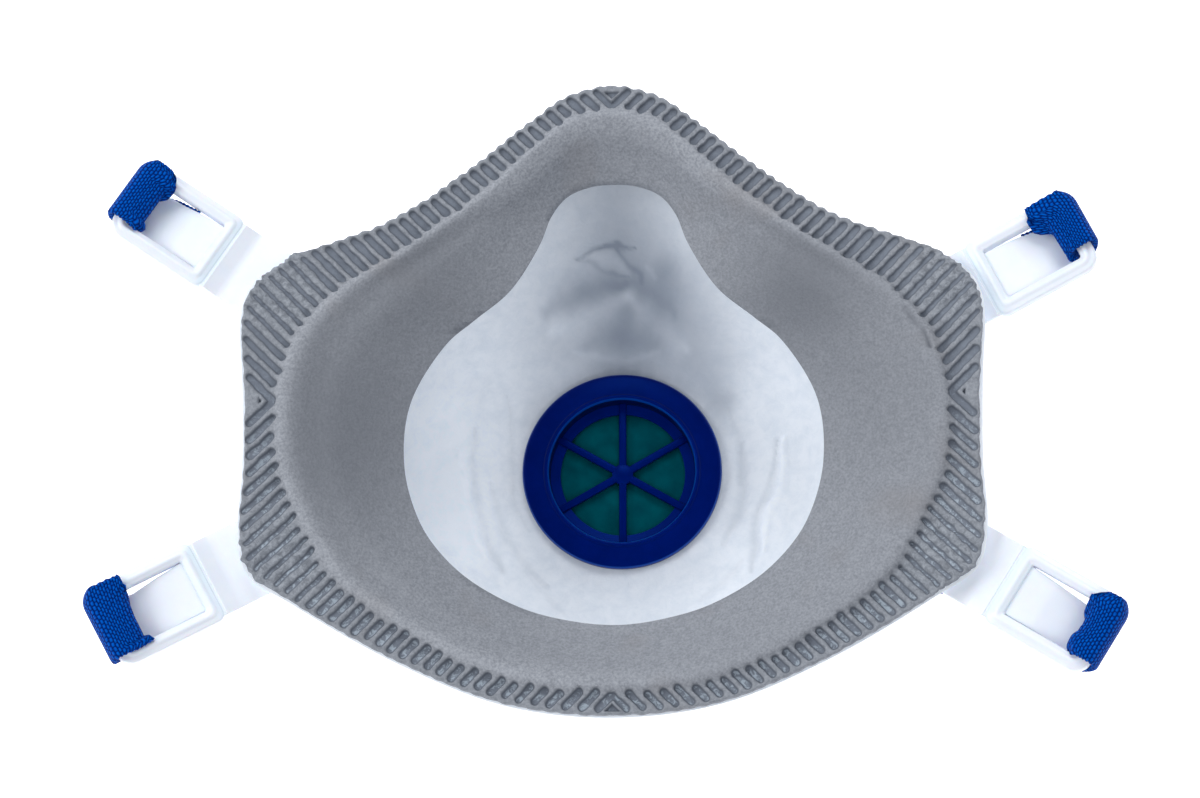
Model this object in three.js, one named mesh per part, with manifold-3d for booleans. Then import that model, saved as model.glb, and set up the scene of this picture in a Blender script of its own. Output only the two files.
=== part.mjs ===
// A moulded cup respirator with an exhalation valve, lying on the flat front of its
// valve cover with the side that meets the face open upwards.
// Millimetres, +Z up, +Y towards the nose, origin at the centre of the cover's flat front.
import * as THREE from 'three';
import { mergeVertices } from 'three/addons/utils/BufferGeometryUtils.js';
import Module from 'manifold-3d';

const wasm = await Module();
wasm.setup();

// ---- Driving dimensions ----
const GAP = 0.3; // left between neighbours that touch

// The rim is a saddle: lowest at the nose and chin, highest at the cheeks.
const RIM = { halfWidth: 70, centreZ: 54, cheekRise: 7 };

// Half outline from nose to chin; the other half mirrors it. rim is the edge of the
// seal, weld the inner edge of the welded band, mouth the edge of the pear-shaped opening.
const STATIONS = [
  { at: 'nose', rim: [0, 66.8], weld: [0, 62.1], mouth: [0, 49.1] },
  { at: 'nose shoulder', rim: [8.6, 64.7], weld: [7.4, 60.8], mouth: [4.4, 48.7] },
  { at: 'upper nose flank', rim: [15.9, 59.5], weld: [13.4, 56.4], mouth: [9.0, 46.7] },
  { at: 'lower nose flank', rim: [28, 49.5], weld: [25.2, 45.2], mouth: [12.0, 42.9] },
  { at: 'cheek flank', rim: [42.5, 39.3], weld: [40.1, 33.8], mouth: [14.3, 37.0] },
  { at: 'upper corner start', rim: [61.5, 31.0], weld: [52.2, 25.4], mouth: [19.9, 27.8] },
  { at: 'upper corner', rim: [67.6, 26.0], weld: [57.2, 20.3], mouth: [27.0, 21.6] },
  { at: 'upper corner end', rim: [69.8, 20.6], weld: [60.3, 16.1], mouth: [32.2, 16.9] },
  { at: 'cheek', rim: [69.2, 5], weld: [63.4, 5.0], mouth: [38.9, 5.0] },
  { at: 'lower cheek', rim: [68.9, -10], weld: [63.2, -9.4], mouth: [39.9, -7.5] },
  { at: 'lower corner start', rim: [69.4, -22.4], weld: [59.9, -18.6], mouth: [37.3, -17.4] },
  { at: 'lower corner', rim: [67.6, -29.9], weld: [56.4, -25.4], mouth: [33.8, -23.3] },
  { at: 'lower corner end', rim: [60, -35.4], weld: [51.6, -32], mouth: [27.6, -29.4] },
  { at: 'jaw', rim: [39.1, -46.9], weld: [36.5, -42.8], mouth: [18, -34.8] },
  { at: 'chin side', rim: [20, -54.3], weld: [18.6, -50.6], mouth: [9, -37.4] },
  { at: 'chin', rim: [0, -56.6], weld: [0, -52.6], mouth: [0, -38.4] },
];
const SECTIONS_PER_STATION = 2;

// Foam seal: flat where it is welded, then a soft bulge and a shallow bowl down to its mouth.
const SEAL = {
  bandThickness: 1.8, foamThickness: 2.4, mouthCentreZ: 47, mouthCheekRise: 2, mouthHalfWidth: 40,
};
// reach: share of the way from the weld to the mouth. drop: share of the fall between them.
const SEAL_PROFILE = [
  { reach: 0.12, drop: -0.1 },
  { reach: 0.45, drop: 0.24 },
  { reach: 0.8, drop: 0.74 },
  { reach: 1, drop: 1 },
];

// Weld slots: parallel recesses at 45 degrees that fan outwards in each quarter of the band.
const SLOT = { pitch: 2.2, width: 1.25, depth: 0.9, edgeMargin: 1.1, cheekY: 2.8 };

// Moulded cup: a flange under the seal, a steep wall, then a dome to the flat valve seat.
const SHELL = { thickness: 1.4, flangeOverhang: 0.4, frontZ: 11.4, holeRadius: 16.8 };
// reach: share of the way from the weld to the valve hole. Heights: share of the cup's depth.
const CUP_PROFILE = [
  { reach: 0.1, cheek: 0.72, nose: 0.85 },
  { reach: 0.32, cheek: 0.36, nose: 0.62 },
  { reach: 0.56, cheek: 0.13, nose: 0.34 },
  { reach: 0.8, cheek: 0.025, nose: 0.07 },
  { reach: 0.9, cheek: 0, nose: 0 },
  { reach: 1, cheek: 0, nose: 0 },
];
// Radians either side of the nose: the nose profile holds up to full and is gone at none.
const NOSE_BLEND = { full: 0.35, none: 1.15 };

// Exhalation valve, on the Z axis. The seat clips through the cup's hole into the cover.
const SEAT = {
  flangeRadius: 20, flangeTop: 13.5, edgeDrop: 0.9, lipRadius: 14.65, lipTop: 13, ledgeZ: 10.7,
  barrelRadius: 16.5, barrelBottom: 4.6, gridRadius: 12.5, gridTop: 10, gridBottom: 8.5,
  spokeBars: 3, spokeWidth: 1.7, hubRadius: 2.4, pinRadius: 1, pinBottom: 6.8,
};
const MEMBRANE = { radius: 14.3, thickness: 0.8 };
const COVER = {
  frontRadius: 17.5, radius: 20, shoulderZ: 3, wall: 1.5,
  vents: 6, ventWidth: 8, ventBottom: 3.6, ventTop: 7,
};
const ROUND_SEGMENTS = 32;

// Strap buckle, in its own frame: x runs out to the end bar's outer edge at x = 0, and
// z = 0 is the frame's top. The tongue bends down towards the bar to let the band through.
const BUCKLE = {
  frameLength: 21.4, frameWidth: 16.4, frameThickness: 2.4, outerCorner: 3.2,
  innerCorner: 1.6, rail: 2.3, ridgeHeight: 0.5, ridgeInset: 0.6, ridgeWidth: 1.1,
  tabWidth: 15.2, tabTop: -0.2, tabThickness: 1.2, tabOverlap: 1,
  tongueWidth: 10.2, tongueThickness: 1, tongueLength: 12.6,
};
// Top of the tongue, from its root at reach 0 to its free tip at reach 1.
const TONGUE_PROFILE = [{ reach: -0.1, z: -0.4 }, { reach: 0.4, z: -1.3 }, { reach: 1, z: -4.3 }];
// End-bar centre in plan, the direction in which each buckle points, in degrees, and its
// length over all, up to where its tab ends under the flange.
const BUCKLE_PLACES = [
  { name: 'buckle_upper_left', end: [-92.2, 44.1], angle: 147, length: 36 },
  { name: 'buckle_upper_right', end: [89.2, 34.6], angle: 26.3, length: 33 },
  { name: 'buckle_lower_left', end: [-94.1, -41.3], angle: -151, length: 36 },
  { name: 'buckle_lower_right', end: [90.6, -44.7], angle: -33.5, length: 36 },
];

// Knitted elastic head bands. Each goes over its two end bars and round the front of the cup.
const BAND = { width: 11.2, thickness: 1, sectionsPerPoint: 2 };
// Centre line round an end bar in the buckle's x and z, from the cut end behind the window.
const BAND_WRAP = [
  { x: -4.3, z: -5.2 }, { x: -3.6, z: -3.4 }, { x: -3.4, z: -1.4 }, { x: -3.3, z: 0.3 },
  { x: -2.5, z: 1.3 }, { x: -1.2, z: 1.5 }, { x: 0.2, z: 1.2 }, { x: 0.9, z: 0.1 },
  { x: 0.95, z: -1.6 }, { x: 0.5, z: -3.6 }, { x: -2, z: -6.6 }, { x: -8, z: -10.6 },
];
// Routes from a buckle to the middle of the front, for the right half of each band.
const UPPER_ROUTE = [
  { x: 67, y: 32.5, z: 37 }, { x: 53, y: 28.5, z: 25 }, { x: 38, y: 27, z: 16 },
  { x: 20, y: 28, z: 9.5 }, { x: 0, y: 28.5, z: 7.5 },
];
const LOWER_ROUTE = [
  { x: 67, y: -23, z: 37 }, { x: 53, y: -23.5, z: 25 }, { x: 38, y: -24.5, z: 16 },
  { x: 20, y: -27, z: 9.5 }, { x: 0, y: -28.5, z: 7.5 },
];
const BANDS = [
  {
    name: 'head_band_upper', left: 'buckle_upper_left', right: 'buckle_upper_right',
    route: UPPER_ROUTE,
  },
  {
    name: 'head_band_lower', left: 'buckle_lower_left', right: 'buckle_lower_right',
    route: LOWER_ROUTE,
  },
];

const FINISH = {
  foam: { color: 0x83878f, roughness: 0.95 },
  shell: { color: 0xeef2f6, roughness: 0.8 },
  valve: { color: 0x00175c, roughness: 0.35 },
  membrane: { color: 0x0a5a5e, roughness: 0.5 },
  cover: { color: 0xf2f4f6, roughness: 0.4 },
  buckle: { color: 0xeef3f9, roughness: 0.3 },
  band: { color: 0x0b4aa8, roughness: 0.9 },
};

// ---- Meshes and solids ----
const { lerp, degToRad, smoothstep } = THREE.MathUtils;

/** Indexed geometry whose faces point out, whichever way round its triangles were listed. */
function solidGeometry(points, triangles) {
  const volume = triangles.reduce((sum, [a, b, c]) => (
    sum + points[a].dot(new THREE.Vector3().crossVectors(points[b], points[c]))
  ), 0);
  const outward = volume > 0 ? triangles : triangles.map(([a, b, c]) => [a, c, b]);
  const geometry = new THREE.BufferGeometry().setFromPoints(points);
  geometry.setIndex(outward.flat());
  geometry.computeVertexNormals();
  return geometry;
}

/** The two triangles of each cell between two neighbouring rings of points. */
function cellsBetween(first, second, count) {
  const cells = [];
  for (let i = 0; i < count; i += 1) {
    const j = (i + 1) % count;
    cells.push([first + i, first + j, second + j], [first + i, second + j, second + i]);
  }
  return cells;
}

/** Closed solid through rings of points, where the last ring joins the first again. */
function loftLoop(rings) {
  const count = rings[0].length;
  const cells = rings.flatMap((_, k) => (
    cellsBetween(k * count, ((k + 1) % rings.length) * count, count)
  ));
  return solidGeometry(rings.flat(), cells);
}

/** Closed solid through sections of points, with a fan over each end. */
function loftCapped(sections) {
  const count = sections[0].length;
  const last = (sections.length - 1) * count;
  const cells = sections.slice(1).flatMap((_, k) => (
    cellsBetween(k * count, (k + 1) * count, count)
  ));
  for (let i = 1; i < count - 1; i += 1) {
    cells.push([0, i + 1, i], [last, last + i, last + i + 1]);
  }
  return solidGeometry(sections.flat(), cells);
}

/** A geometry as a manifold solid, with its shared vertices merged. */
function toSolid(geometry) {
  const bare = geometry.clone();
  bare.deleteAttribute('normal');
  bare.deleteAttribute('uv');
  const merged = mergeVertices(bare, 1e-4);
  return new wasm.Manifold(new wasm.Mesh({
    numProp: 3,
    vertProperties: new Float32Array(merged.attributes.position.array),
    triVerts: new Uint32Array(merged.index.array),
  }));
}

/** A manifold solid as a geometry. */
function toGeometry(solid) {
  const { vertProperties, triVerts } = solid.getMesh();
  const geometry = new THREE.BufferGeometry();
  geometry.setAttribute('position', new THREE.BufferAttribute(vertProperties, 3));
  geometry.setIndex(new THREE.BufferAttribute(triVerts, 1));
  geometry.computeVertexNormals();
  return geometry;
}

/** Solid turned about Z through a profile of [radius, height] pairs. */
function turned(profile) {
  const points = profile.map(([radius, height]) => new THREE.Vector2(radius, height));
  const geometry = new THREE.LatheGeometry(points, ROUND_SEGMENTS);
  return toSolid(geometry.rotateX(Math.PI / 2));
}

/** Box between two corners, as a solid. */
function boxBetween([x0, y0, z0], [x1, y1, z1]) {
  const geometry = new THREE.BoxGeometry(x1 - x0, y1 - y0, z1 - z0);
  return toSolid(geometry.translate((x0 + x1) / 2, (y0 + y1) / 2, (z0 + z1) / 2));
}

/** Named mesh with one of the finishes above. */
function namedMesh(name, geometry, finish) {
  const mesh = new THREE.Mesh(geometry, new THREE.MeshStandardMaterial({ metalness: 0, ...finish }));
  mesh.name = name;
  return mesh;
}

// ---- Outlines shared by the seal and the cup ----
/** Height of the seal's top face on its welded band. */
function rimHeight(x) {
  return RIM.centreZ + RIM.cheekRise * (x / RIM.halfWidth) ** 2;
}

/** Points round the whole outline that passes through one column of the station table. */
function outline(column) {
  const right = STATIONS.map((row) => new THREE.Vector3(...row[column], 0));
  const left = right.slice(1, -1).reverse().map((point) => new THREE.Vector3(-point.x, point.y, 0));
  const curve = new THREE.CatmullRomCurve3([...right, ...left], true, 'centripetal');
  const count = (right.length + left.length) * SECTIONS_PER_STATION;
  return Array.from({ length: count }, (_, i) => curve.getPoint(i / count));
}

const RIM_LINE = outline('rim');
const WELD_LINE = outline('weld');
const MOUTH_LINE = outline('mouth');

// ---- Face seal ----
/** Top face of the seal at one section, from the rim to the mouth. */
function sealTop(i) {
  const rim = RIM_LINE[i];
  const weld = WELD_LINE[i];
  const mouth = MOUTH_LINE[i];
  const weldZ = rimHeight(weld.x);
  const mouthZ = SEAL.mouthCentreZ + SEAL.mouthCheekRise * (mouth.x / SEAL.mouthHalfWidth) ** 2;
  const foam = SEAL_PROFILE.map(({ reach, drop }) => (
    weld.clone().lerp(mouth, reach).setZ(lerp(weldZ, mouthZ, drop))
  ));
  return [rim.clone().setZ(rimHeight(rim.x)), weld.clone().setZ(weldZ), ...foam];
}

/** How far along a ray its last crossing of a closed outline lies. */
function exitDistance(line, origin, direction) {
  let exit = 0;
  line.forEach((a, i) => {
    const b = line[(i + 1) % line.length];
    const edge = b.clone().sub(a);
    const cross = direction.x * edge.y - direction.y * edge.x;
    const toA = a.clone().sub(origin);
    const along = (toA.x * edge.y - toA.y * edge.x) / cross;
    const share = (toA.x * direction.y - toA.y * direction.x) / cross;
    if (share >= 0 && share < 1 && along > exit) {
      exit = along;
    }
  });
  return exit;
}

/** Cutter for one slot on the band between two points in plan. */
function slotCutter(start, end) {
  const along = end.clone().sub(start).normalize();
  const across = new THREE.Vector3(-along.y, along.x, 0).multiplyScalar(SLOT.width / 2);
  const plan = [
    start.clone().sub(across),
    end.clone().sub(across),
    end.clone().add(across),
    start.clone().add(across),
  ];
  const floor = plan.map((point) => point.clone().setZ(rimHeight(point.x) - SLOT.depth));
  const roof = plan.map((point) => point.clone().setZ(rimHeight(point.x) + SLOT.depth));
  return loftCapped([floor, roof]);
}

/** Every weld slot of one quarter, where sideX and sideY are +1 or -1. */
function quarterSlots(sideX, sideY) {
  const outward = new THREE.Vector3(sideX, sideY, 0).normalize();
  const sideways = new THREE.Vector3(-outward.y, outward.x, 0);
  const reach = Math.ceil(RIM.halfWidth / SLOT.pitch);
  const cutters = [];
  for (let k = -reach; k <= reach; k += 1) {
    const origin = new THREE.Vector3(0, SLOT.cheekY, 0).addScaledVector(sideways, (k + 0.5) * SLOT.pitch);
    const start = origin.clone().addScaledVector(outward, exitDistance(WELD_LINE, origin, outward));
    const rimExit = exitDistance(RIM_LINE, origin, outward) - SLOT.edgeMargin;
    const end = origin.clone().addScaledVector(outward, rimExit);
    const inQuarter = (point) => (
      point.x * sideX > SLOT.width && (point.y - SLOT.cheekY) * sideY > SLOT.width
    );
    if (inQuarter(start) && inQuarter(end)) {
      cutters.push(toSolid(slotCutter(start, end)));
    }
  }
  return cutters;
}

/** Foam seal with its weld slots. */
function faceSeal() {
  const tops = RIM_LINE.map((_, i) => sealTop(i));
  const rows = tops[0].length;
  const topRings = Array.from({ length: rows }, (_, k) => tops.map((section) => section[k]));
  const thicknessAt = (k) => (k < 2 ? SEAL.bandThickness : SEAL.foamThickness);
  const bottomRings = topRings.map((ring, k) => (
    ring.map((point) => point.clone().setZ(point.z - thicknessAt(k)))
  ));
  const body = toSolid(loftLoop([...topRings, ...bottomRings.reverse()]));
  const slots = [[1, 1], [1, -1], [-1, -1], [-1, 1]].flatMap(([x, y]) => quarterSlots(x, y));
  return toGeometry(slots.reduce((seal, slot) => seal.subtract(slot), body));
}

// ---- Cup shell ----
/** Inner face of the cup at one section, from the flange's edge to the valve hole. */
function cupInside(i) {
  const rim = RIM_LINE[i];
  const weld = WELD_LINE[i];
  const drop = SEAL.bandThickness + GAP;
  const edge = rim.clone().add(rim.clone().sub(weld).setLength(SHELL.flangeOverhang));
  const weldZ = rimHeight(weld.x) - drop;
  const fromNose = Math.abs(Math.atan2(weld.x, weld.y));
  const noseShare = 1 - smoothstep(fromNose, NOSE_BLEND.full, NOSE_BLEND.none);
  const hole = weld.clone().setLength(SHELL.holeRadius);
  const wall = CUP_PROFILE.map(({ reach, cheek, nose }) => (
    weld.clone().lerp(hole, reach).setZ(lerp(SHELL.frontZ, weldZ, lerp(cheek, nose, noseShare)))
  ));
  return [edge.setZ(rimHeight(edge.x) - drop), weld.clone().setZ(weldZ), ...wall];
}

/** Outer face of a section: the inner face set off square to its own slope. */
function cupOutside(inside) {
  const inward = inside.at(-1).clone().sub(inside[0]).setZ(0).normalize();
  return inside.map((point, k) => {
    const before = inside[Math.max(k - 1, 0)];
    const after = inside[Math.min(k + 1, inside.length - 1)];
    const slope = after.clone().sub(before);
    const square = inward.clone().multiplyScalar(slope.z).setZ(-slope.dot(inward));
    return point.clone().add(square.setLength(SHELL.thickness));
  });
}

/** Moulded cup with its flange and valve hole. */
function cupShell() {
  const insides = RIM_LINE.map((_, i) => cupInside(i));
  const outsides = insides.map((section) => cupOutside(section));
  const rows = insides[0].length;
  const ringsOf = (sections) => (
    Array.from({ length: rows }, (_, k) => sections.map((section) => section[k]))
  );
  return loftLoop([...ringsOf(insides), ...ringsOf(outsides).reverse()]);
}

// ---- Exhalation valve ----
/** Ring that clamps the cup, with its barrel, spoked grid and the membrane's pin. */
function valveSeat() {
  const clampZ = SHELL.frontZ + GAP;
  const ring = turned([
    [SEAT.flangeRadius, clampZ], [SEAT.flangeRadius, SEAT.flangeTop - SEAT.edgeDrop],
    [SEAT.flangeRadius - SEAT.edgeDrop, SEAT.flangeTop], [SEAT.lipRadius, SEAT.lipTop],
    [SEAT.lipRadius, SEAT.ledgeZ], [SEAT.gridRadius, SEAT.ledgeZ],
    [SEAT.gridRadius, SEAT.gridBottom], [SEAT.lipRadius, SEAT.gridBottom],
    [SEAT.lipRadius, SEAT.barrelBottom], [SEAT.barrelRadius, SEAT.barrelBottom],
    [SEAT.barrelRadius, clampZ], [SEAT.flangeRadius, clampZ],
  ]);
  const hub = turned([
    [0, SEAT.pinBottom], [SEAT.pinRadius, SEAT.pinBottom], [SEAT.pinRadius, SEAT.gridBottom],
    [SEAT.hubRadius, SEAT.gridBottom], [SEAT.hubRadius, SEAT.gridTop], [0, SEAT.gridTop],
  ]);
  let seat = ring.add(hub);
  const reach = (SEAT.gridRadius + SEAT.lipRadius) / 2;
  for (let k = 0; k < SEAT.spokeBars; k += 1) {
    const bar = boxBetween(
      [-reach, -SEAT.spokeWidth / 2, SEAT.gridBottom],
      [reach, SEAT.spokeWidth / 2, SEAT.gridTop],
    );
    seat = seat.add(bar.rotate([0, 0, 90 + (180 * k) / SEAT.spokeBars]));
  }
  return toGeometry(seat);
}

/** Thin flap under the grid, with a hole for its pin. */
function valveMembrane() {
  const top = SEAT.gridBottom - GAP;
  const bottom = top - MEMBRANE.thickness;
  const bore = SEAT.pinRadius + GAP;
  return toGeometry(turned([
    [bore, bottom], [MEMBRANE.radius, bottom], [MEMBRANE.radius, top], [bore, top], [bore, bottom],
  ]));
}

/** Plain cover that clips round the barrel, with a flat front and side vents. */
function valveCover() {
  const top = SHELL.frontZ - SHELL.thickness - GAP;
  const clip = SEAT.barrelRadius + GAP;
  const bore = COVER.radius - COVER.wall;
  let cover = turned([
    [0, 0], [COVER.frontRadius, 0], [COVER.radius, COVER.shoulderZ], [COVER.radius, top],
    [clip, top], [clip, top - COVER.wall], [bore, top - 2 * COVER.wall], [bore, COVER.shoulderZ],
    [COVER.frontRadius - COVER.wall / 2, COVER.wall], [0, COVER.wall],
  ]);
  const vent = boxBetween(
    [clip, -COVER.ventWidth / 2, COVER.ventBottom],
    [COVER.radius + COVER.wall, COVER.ventWidth / 2, COVER.ventTop],
  );
  for (let k = 0; k < COVER.vents; k += 1) {
    cover = cover.subtract(vent.rotate([0, 0, (360 * (k + 0.5)) / COVER.vents]));
  }
  return toGeometry(cover);
}

// ---- Strap buckles ----
/** Rounded rectangle from x0 to x1, with one corner radius at each end. */
function roundedRectangle(x0, x1, halfWidth, radiusIn, radiusOut) {
  const path = new THREE.Shape();
  path.moveTo(x0 + radiusIn, -halfWidth);
  path.lineTo(x1 - radiusOut, -halfWidth);
  path.absarc(x1 - radiusOut, -halfWidth + radiusOut, radiusOut, -Math.PI / 2, 0);
  path.absarc(x1 - radiusOut, halfWidth - radiusOut, radiusOut, 0, Math.PI / 2);
  path.absarc(x0 + radiusIn, halfWidth - radiusIn, radiusIn, Math.PI / 2, Math.PI);
  path.absarc(x0 + radiusIn, -halfWidth + radiusIn, radiusIn, Math.PI, Math.PI * 1.5);
  return path;
}

/** Flat frame between two heights, set in from the buckle's outline, round a hole. */
function frameRing(inset, width, bottom, top) {
  const half = BUCKLE.frameWidth / 2 - inset;
  const outer = roundedRectangle(
    inset - BUCKLE.frameLength, -inset, half,
    BUCKLE.innerCorner - inset / 2, BUCKLE.outerCorner - inset,
  );
  const near = inset + width - BUCKLE.frameLength;
  const far = -inset - width;
  const side = half - width;
  const corners = [[near, -side], [far, -side], [far, side], [near, side]];
  outer.holes.push(new THREE.Path(corners.map(([x, y]) => new THREE.Vector2(x, y))));
  const geometry = new THREE.ExtrudeGeometry(outer, {
    depth: top - bottom, bevelEnabled: false, curveSegments: 3,
  });
  return toSolid(geometry.translate(0, 0, bottom));
}

/** Springy tongue: a side profile in x and z, carried across the tongue's width. */
function tongue() {
  const root = BUCKLE.rail - BUCKLE.frameLength;
  const top = TONGUE_PROFILE.map(({ reach, z }) => (
    new THREE.Vector2(root + reach * BUCKLE.tongueLength, z)
  ));
  const underside = top.map(({ x, y }) => new THREE.Vector2(x, y - BUCKLE.tongueThickness));
  const shape = new THREE.Shape([...top, ...underside.reverse()]);
  const geometry = new THREE.ExtrudeGeometry(shape, { depth: BUCKLE.tongueWidth, bevelEnabled: false });
  return toSolid(geometry.rotateX(Math.PI / 2).translate(0, BUCKLE.tongueWidth / 2, 0));
}

/** One moulded buckle in its own frame. */
function buckleGeometry(length) {
  const tabEnd = BUCKLE.tabOverlap - BUCKLE.frameLength;
  const tab = boxBetween(
    [-length, -BUCKLE.tabWidth / 2, BUCKLE.tabTop - BUCKLE.tabThickness],
    [tabEnd, BUCKLE.tabWidth / 2, BUCKLE.tabTop],
  );
  const frame = frameRing(0, BUCKLE.rail, -BUCKLE.frameThickness, 0);
  const ridge = frameRing(BUCKLE.ridgeInset, BUCKLE.ridgeWidth, -BUCKLE.ridgeInset, BUCKLE.ridgeHeight);
  return toGeometry(frame.add(ridge).add(tab).add(tongue()));
}

/** Place of a buckle: its tab lies flat against the underside of the cup's flange. */
function bucklePlace({ end, angle }) {
  const side = Math.sign(end[0]);
  const slope = (2 * RIM.cheekRise) / RIM.halfWidth;
  const up = new THREE.Vector3(-side * slope, 0, 1).normalize();
  const plan = new THREE.Vector3(Math.cos(degToRad(angle)), Math.sin(degToRad(angle)), 0);
  const outward = plan.clone().setZ(Math.abs(plan.x) * slope).normalize();
  const across = new THREE.Vector3().crossVectors(up, outward);
  const underFlange = SEAL.bandThickness + SHELL.thickness + 2 * GAP - BUCKLE.tabTop;
  const z = rimHeight(RIM.halfWidth) - underFlange + slope * (Math.abs(end[0]) - RIM.halfWidth);
  return new THREE.Matrix4().makeBasis(outward, across, up).setPosition(end[0], end[1], z);
}

// ---- Head bands ----
/** Centre line and width direction of half a band, from its cut end to the middle. */
function bandHalf(place, halfRoute, sideX) {
  const across = new THREE.Vector3().setFromMatrixColumn(place, 1);
  across.multiplyScalar(Math.sign(across.y));
  const wrap = BAND_WRAP.map(({ x, z }) => ({
    centre: new THREE.Vector3(x, 0, z).applyMatrix4(place),
    across,
  }));
  const route = halfRoute.map(({ x, y, z }, k) => ({
    centre: new THREE.Vector3(sideX * x, y, z),
    across: across.clone().lerp(new THREE.Vector3(0, 1, 0), (k + 1) / halfRoute.length),
  }));
  return [...wrap, ...route];
}

/** Flat band of elastic along a smooth curve through its points. */
function headBand({ left, right, route }, places) {
  const leftHalf = bandHalf(places[left], route, -1);
  const rightHalf = bandHalf(places[right], route, 1).slice(0, -1).reverse();
  const knots = [...leftHalf, ...rightHalf];
  const centres = new THREE.CatmullRomCurve3(knots.map((knot) => knot.centre), false, 'centripetal');
  const widths = new THREE.CatmullRomCurve3(knots.map((knot) => knot.across), false, 'centripetal');
  const steps = (knots.length - 1) * BAND.sectionsPerPoint;
  const sections = Array.from({ length: steps + 1 }, (_, i) => {
    const centre = centres.getPoint(i / steps);
    const along = centres.getTangent(i / steps);
    const across = widths.getPoint(i / steps);
    across.addScaledVector(along, -across.dot(along)).setLength(BAND.width / 2);
    const through = new THREE.Vector3().crossVectors(along, across).setLength(BAND.thickness / 2);
    return [[1, 1], [1, -1], [-1, -1], [-1, 1]].map(([u, v]) => (
      centre.clone().addScaledVector(across, u).addScaledVector(through, v)
    ));
  });
  return loftCapped(sections);
}

// ---- Assembly ----
const respirator = new THREE.Group();
respirator.add(
  namedMesh('cup_shell', cupShell(), FINISH.shell),
  namedMesh('face_seal', faceSeal(), FINISH.foam),
  namedMesh('valve_seat', valveSeat(), FINISH.valve),
  namedMesh('valve_membrane', valveMembrane(), FINISH.membrane),
  namedMesh('valve_cover', valveCover(), FINISH.cover),
);

const places = {};
for (const row of BUCKLE_PLACES) {
  places[row.name] = bucklePlace(row);
  const buckle = namedMesh(row.name, buckleGeometry(row.length), FINISH.buckle);
  buckle.applyMatrix4(places[row.name]);
  respirator.add(buckle);
}
for (const row of BANDS) {
  respirator.add(namedMesh(row.name, headBand(row, places), FINISH.band));
}

export default respirator;
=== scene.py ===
"""A moulded cup respirator with a foam face seal, lying on its valve cover.

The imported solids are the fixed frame. Each sub-assembly is a class that builds its own fine
meshes over them, in millimetres and in the frame's axes, and dresses them in its finish.
"""
import logging
import math
from dataclasses import dataclass
from enum import Enum
from typing import NamedTuple, Sequence

import bmesh
import bpy
import numpy as np
from mathutils import Matrix, Vector


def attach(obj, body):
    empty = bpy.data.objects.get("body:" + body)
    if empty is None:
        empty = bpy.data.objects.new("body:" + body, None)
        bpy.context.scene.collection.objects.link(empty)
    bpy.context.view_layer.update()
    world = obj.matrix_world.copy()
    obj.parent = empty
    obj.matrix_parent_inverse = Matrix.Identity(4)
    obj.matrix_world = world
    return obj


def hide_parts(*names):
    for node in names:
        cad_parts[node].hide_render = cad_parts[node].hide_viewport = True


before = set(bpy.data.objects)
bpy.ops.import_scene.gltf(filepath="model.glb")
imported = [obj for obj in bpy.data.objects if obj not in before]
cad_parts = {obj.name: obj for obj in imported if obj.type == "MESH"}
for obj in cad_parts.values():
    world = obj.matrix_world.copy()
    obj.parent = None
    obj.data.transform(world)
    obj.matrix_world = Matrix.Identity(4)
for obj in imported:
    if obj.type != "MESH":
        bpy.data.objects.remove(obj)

LOG = logging.getLogger("respirator")
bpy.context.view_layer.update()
BODY = "root"
MM = 0.001
GAP = 0.3  # millimetres between neighbours that touch
SEAL_THICKNESS = 1.8  # millimetres, in the welded band
CUP_THICKNESS = 1.4  # millimetres
CHEEK_WELD_X = 63.4  # millimetres from the middle to where the weld line crosses the cheek

Settings = dict[str, object]
Links = dict[str, bpy.types.NodeSocket]


class Station(NamedTuple):
    """One place on the right half of the face outline, as x and y in millimetres."""

    at: str
    rim: tuple[float, float]
    weld: tuple[float, float]
    mouth: tuple[float, float]


STATIONS = (
    Station("nose", (0, 66.8), (0, 62.1), (0, 49.1)),
    Station("nose shoulder", (8.6, 64.7), (7.4, 60.8), (4.4, 48.7)),
    Station("upper nose flank", (15.9, 59.5), (13.4, 56.4), (9.0, 46.7)),
    Station("lower nose flank", (28, 49.5), (25.2, 45.2), (12.0, 42.9)),
    Station("cheek flank", (42.5, 39.3), (40.1, 33.8), (14.3, 37.0)),
    Station("upper corner start", (61.5, 31.0), (52.2, 25.4), (19.9, 27.8)),
    Station("upper corner", (67.6, 26.0), (57.2, 20.3), (27.0, 21.6)),
    Station("upper corner end", (69.8, 20.6), (60.3, 16.1), (32.2, 16.9)),
    Station("cheek", (69.2, 5), (63.4, 5.0), (38.9, 5.0)),
    Station("lower cheek", (68.9, -10), (63.2, -9.4), (39.9, -7.5)),
    Station("lower corner start", (69.4, -22.4), (59.9, -18.6), (37.3, -17.4)),
    Station("lower corner", (67.6, -29.9), (56.4, -25.4), (33.8, -23.3)),
    Station("lower corner end", (60, -35.4), (51.6, -32), (27.6, -29.4)),
    Station("jaw", (39.1, -46.9), (36.5, -42.8), (18, -34.8)),
    Station("chin side", (20, -54.3), (18.6, -50.6), (9, -37.4)),
    Station("chin", (0, -56.6), (0, -52.6), (0, -38.4)),
)


# ---------------------------------------------------------------- numbers and curves
def smooth_step(low: float, high: float, value: np.ndarray) -> np.ndarray:
    """Ease from 0 at low to 1 at high."""
    share = np.clip((value - low) / (high - low), 0, 1)
    return share * share * (3 - 2 * share)


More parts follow.
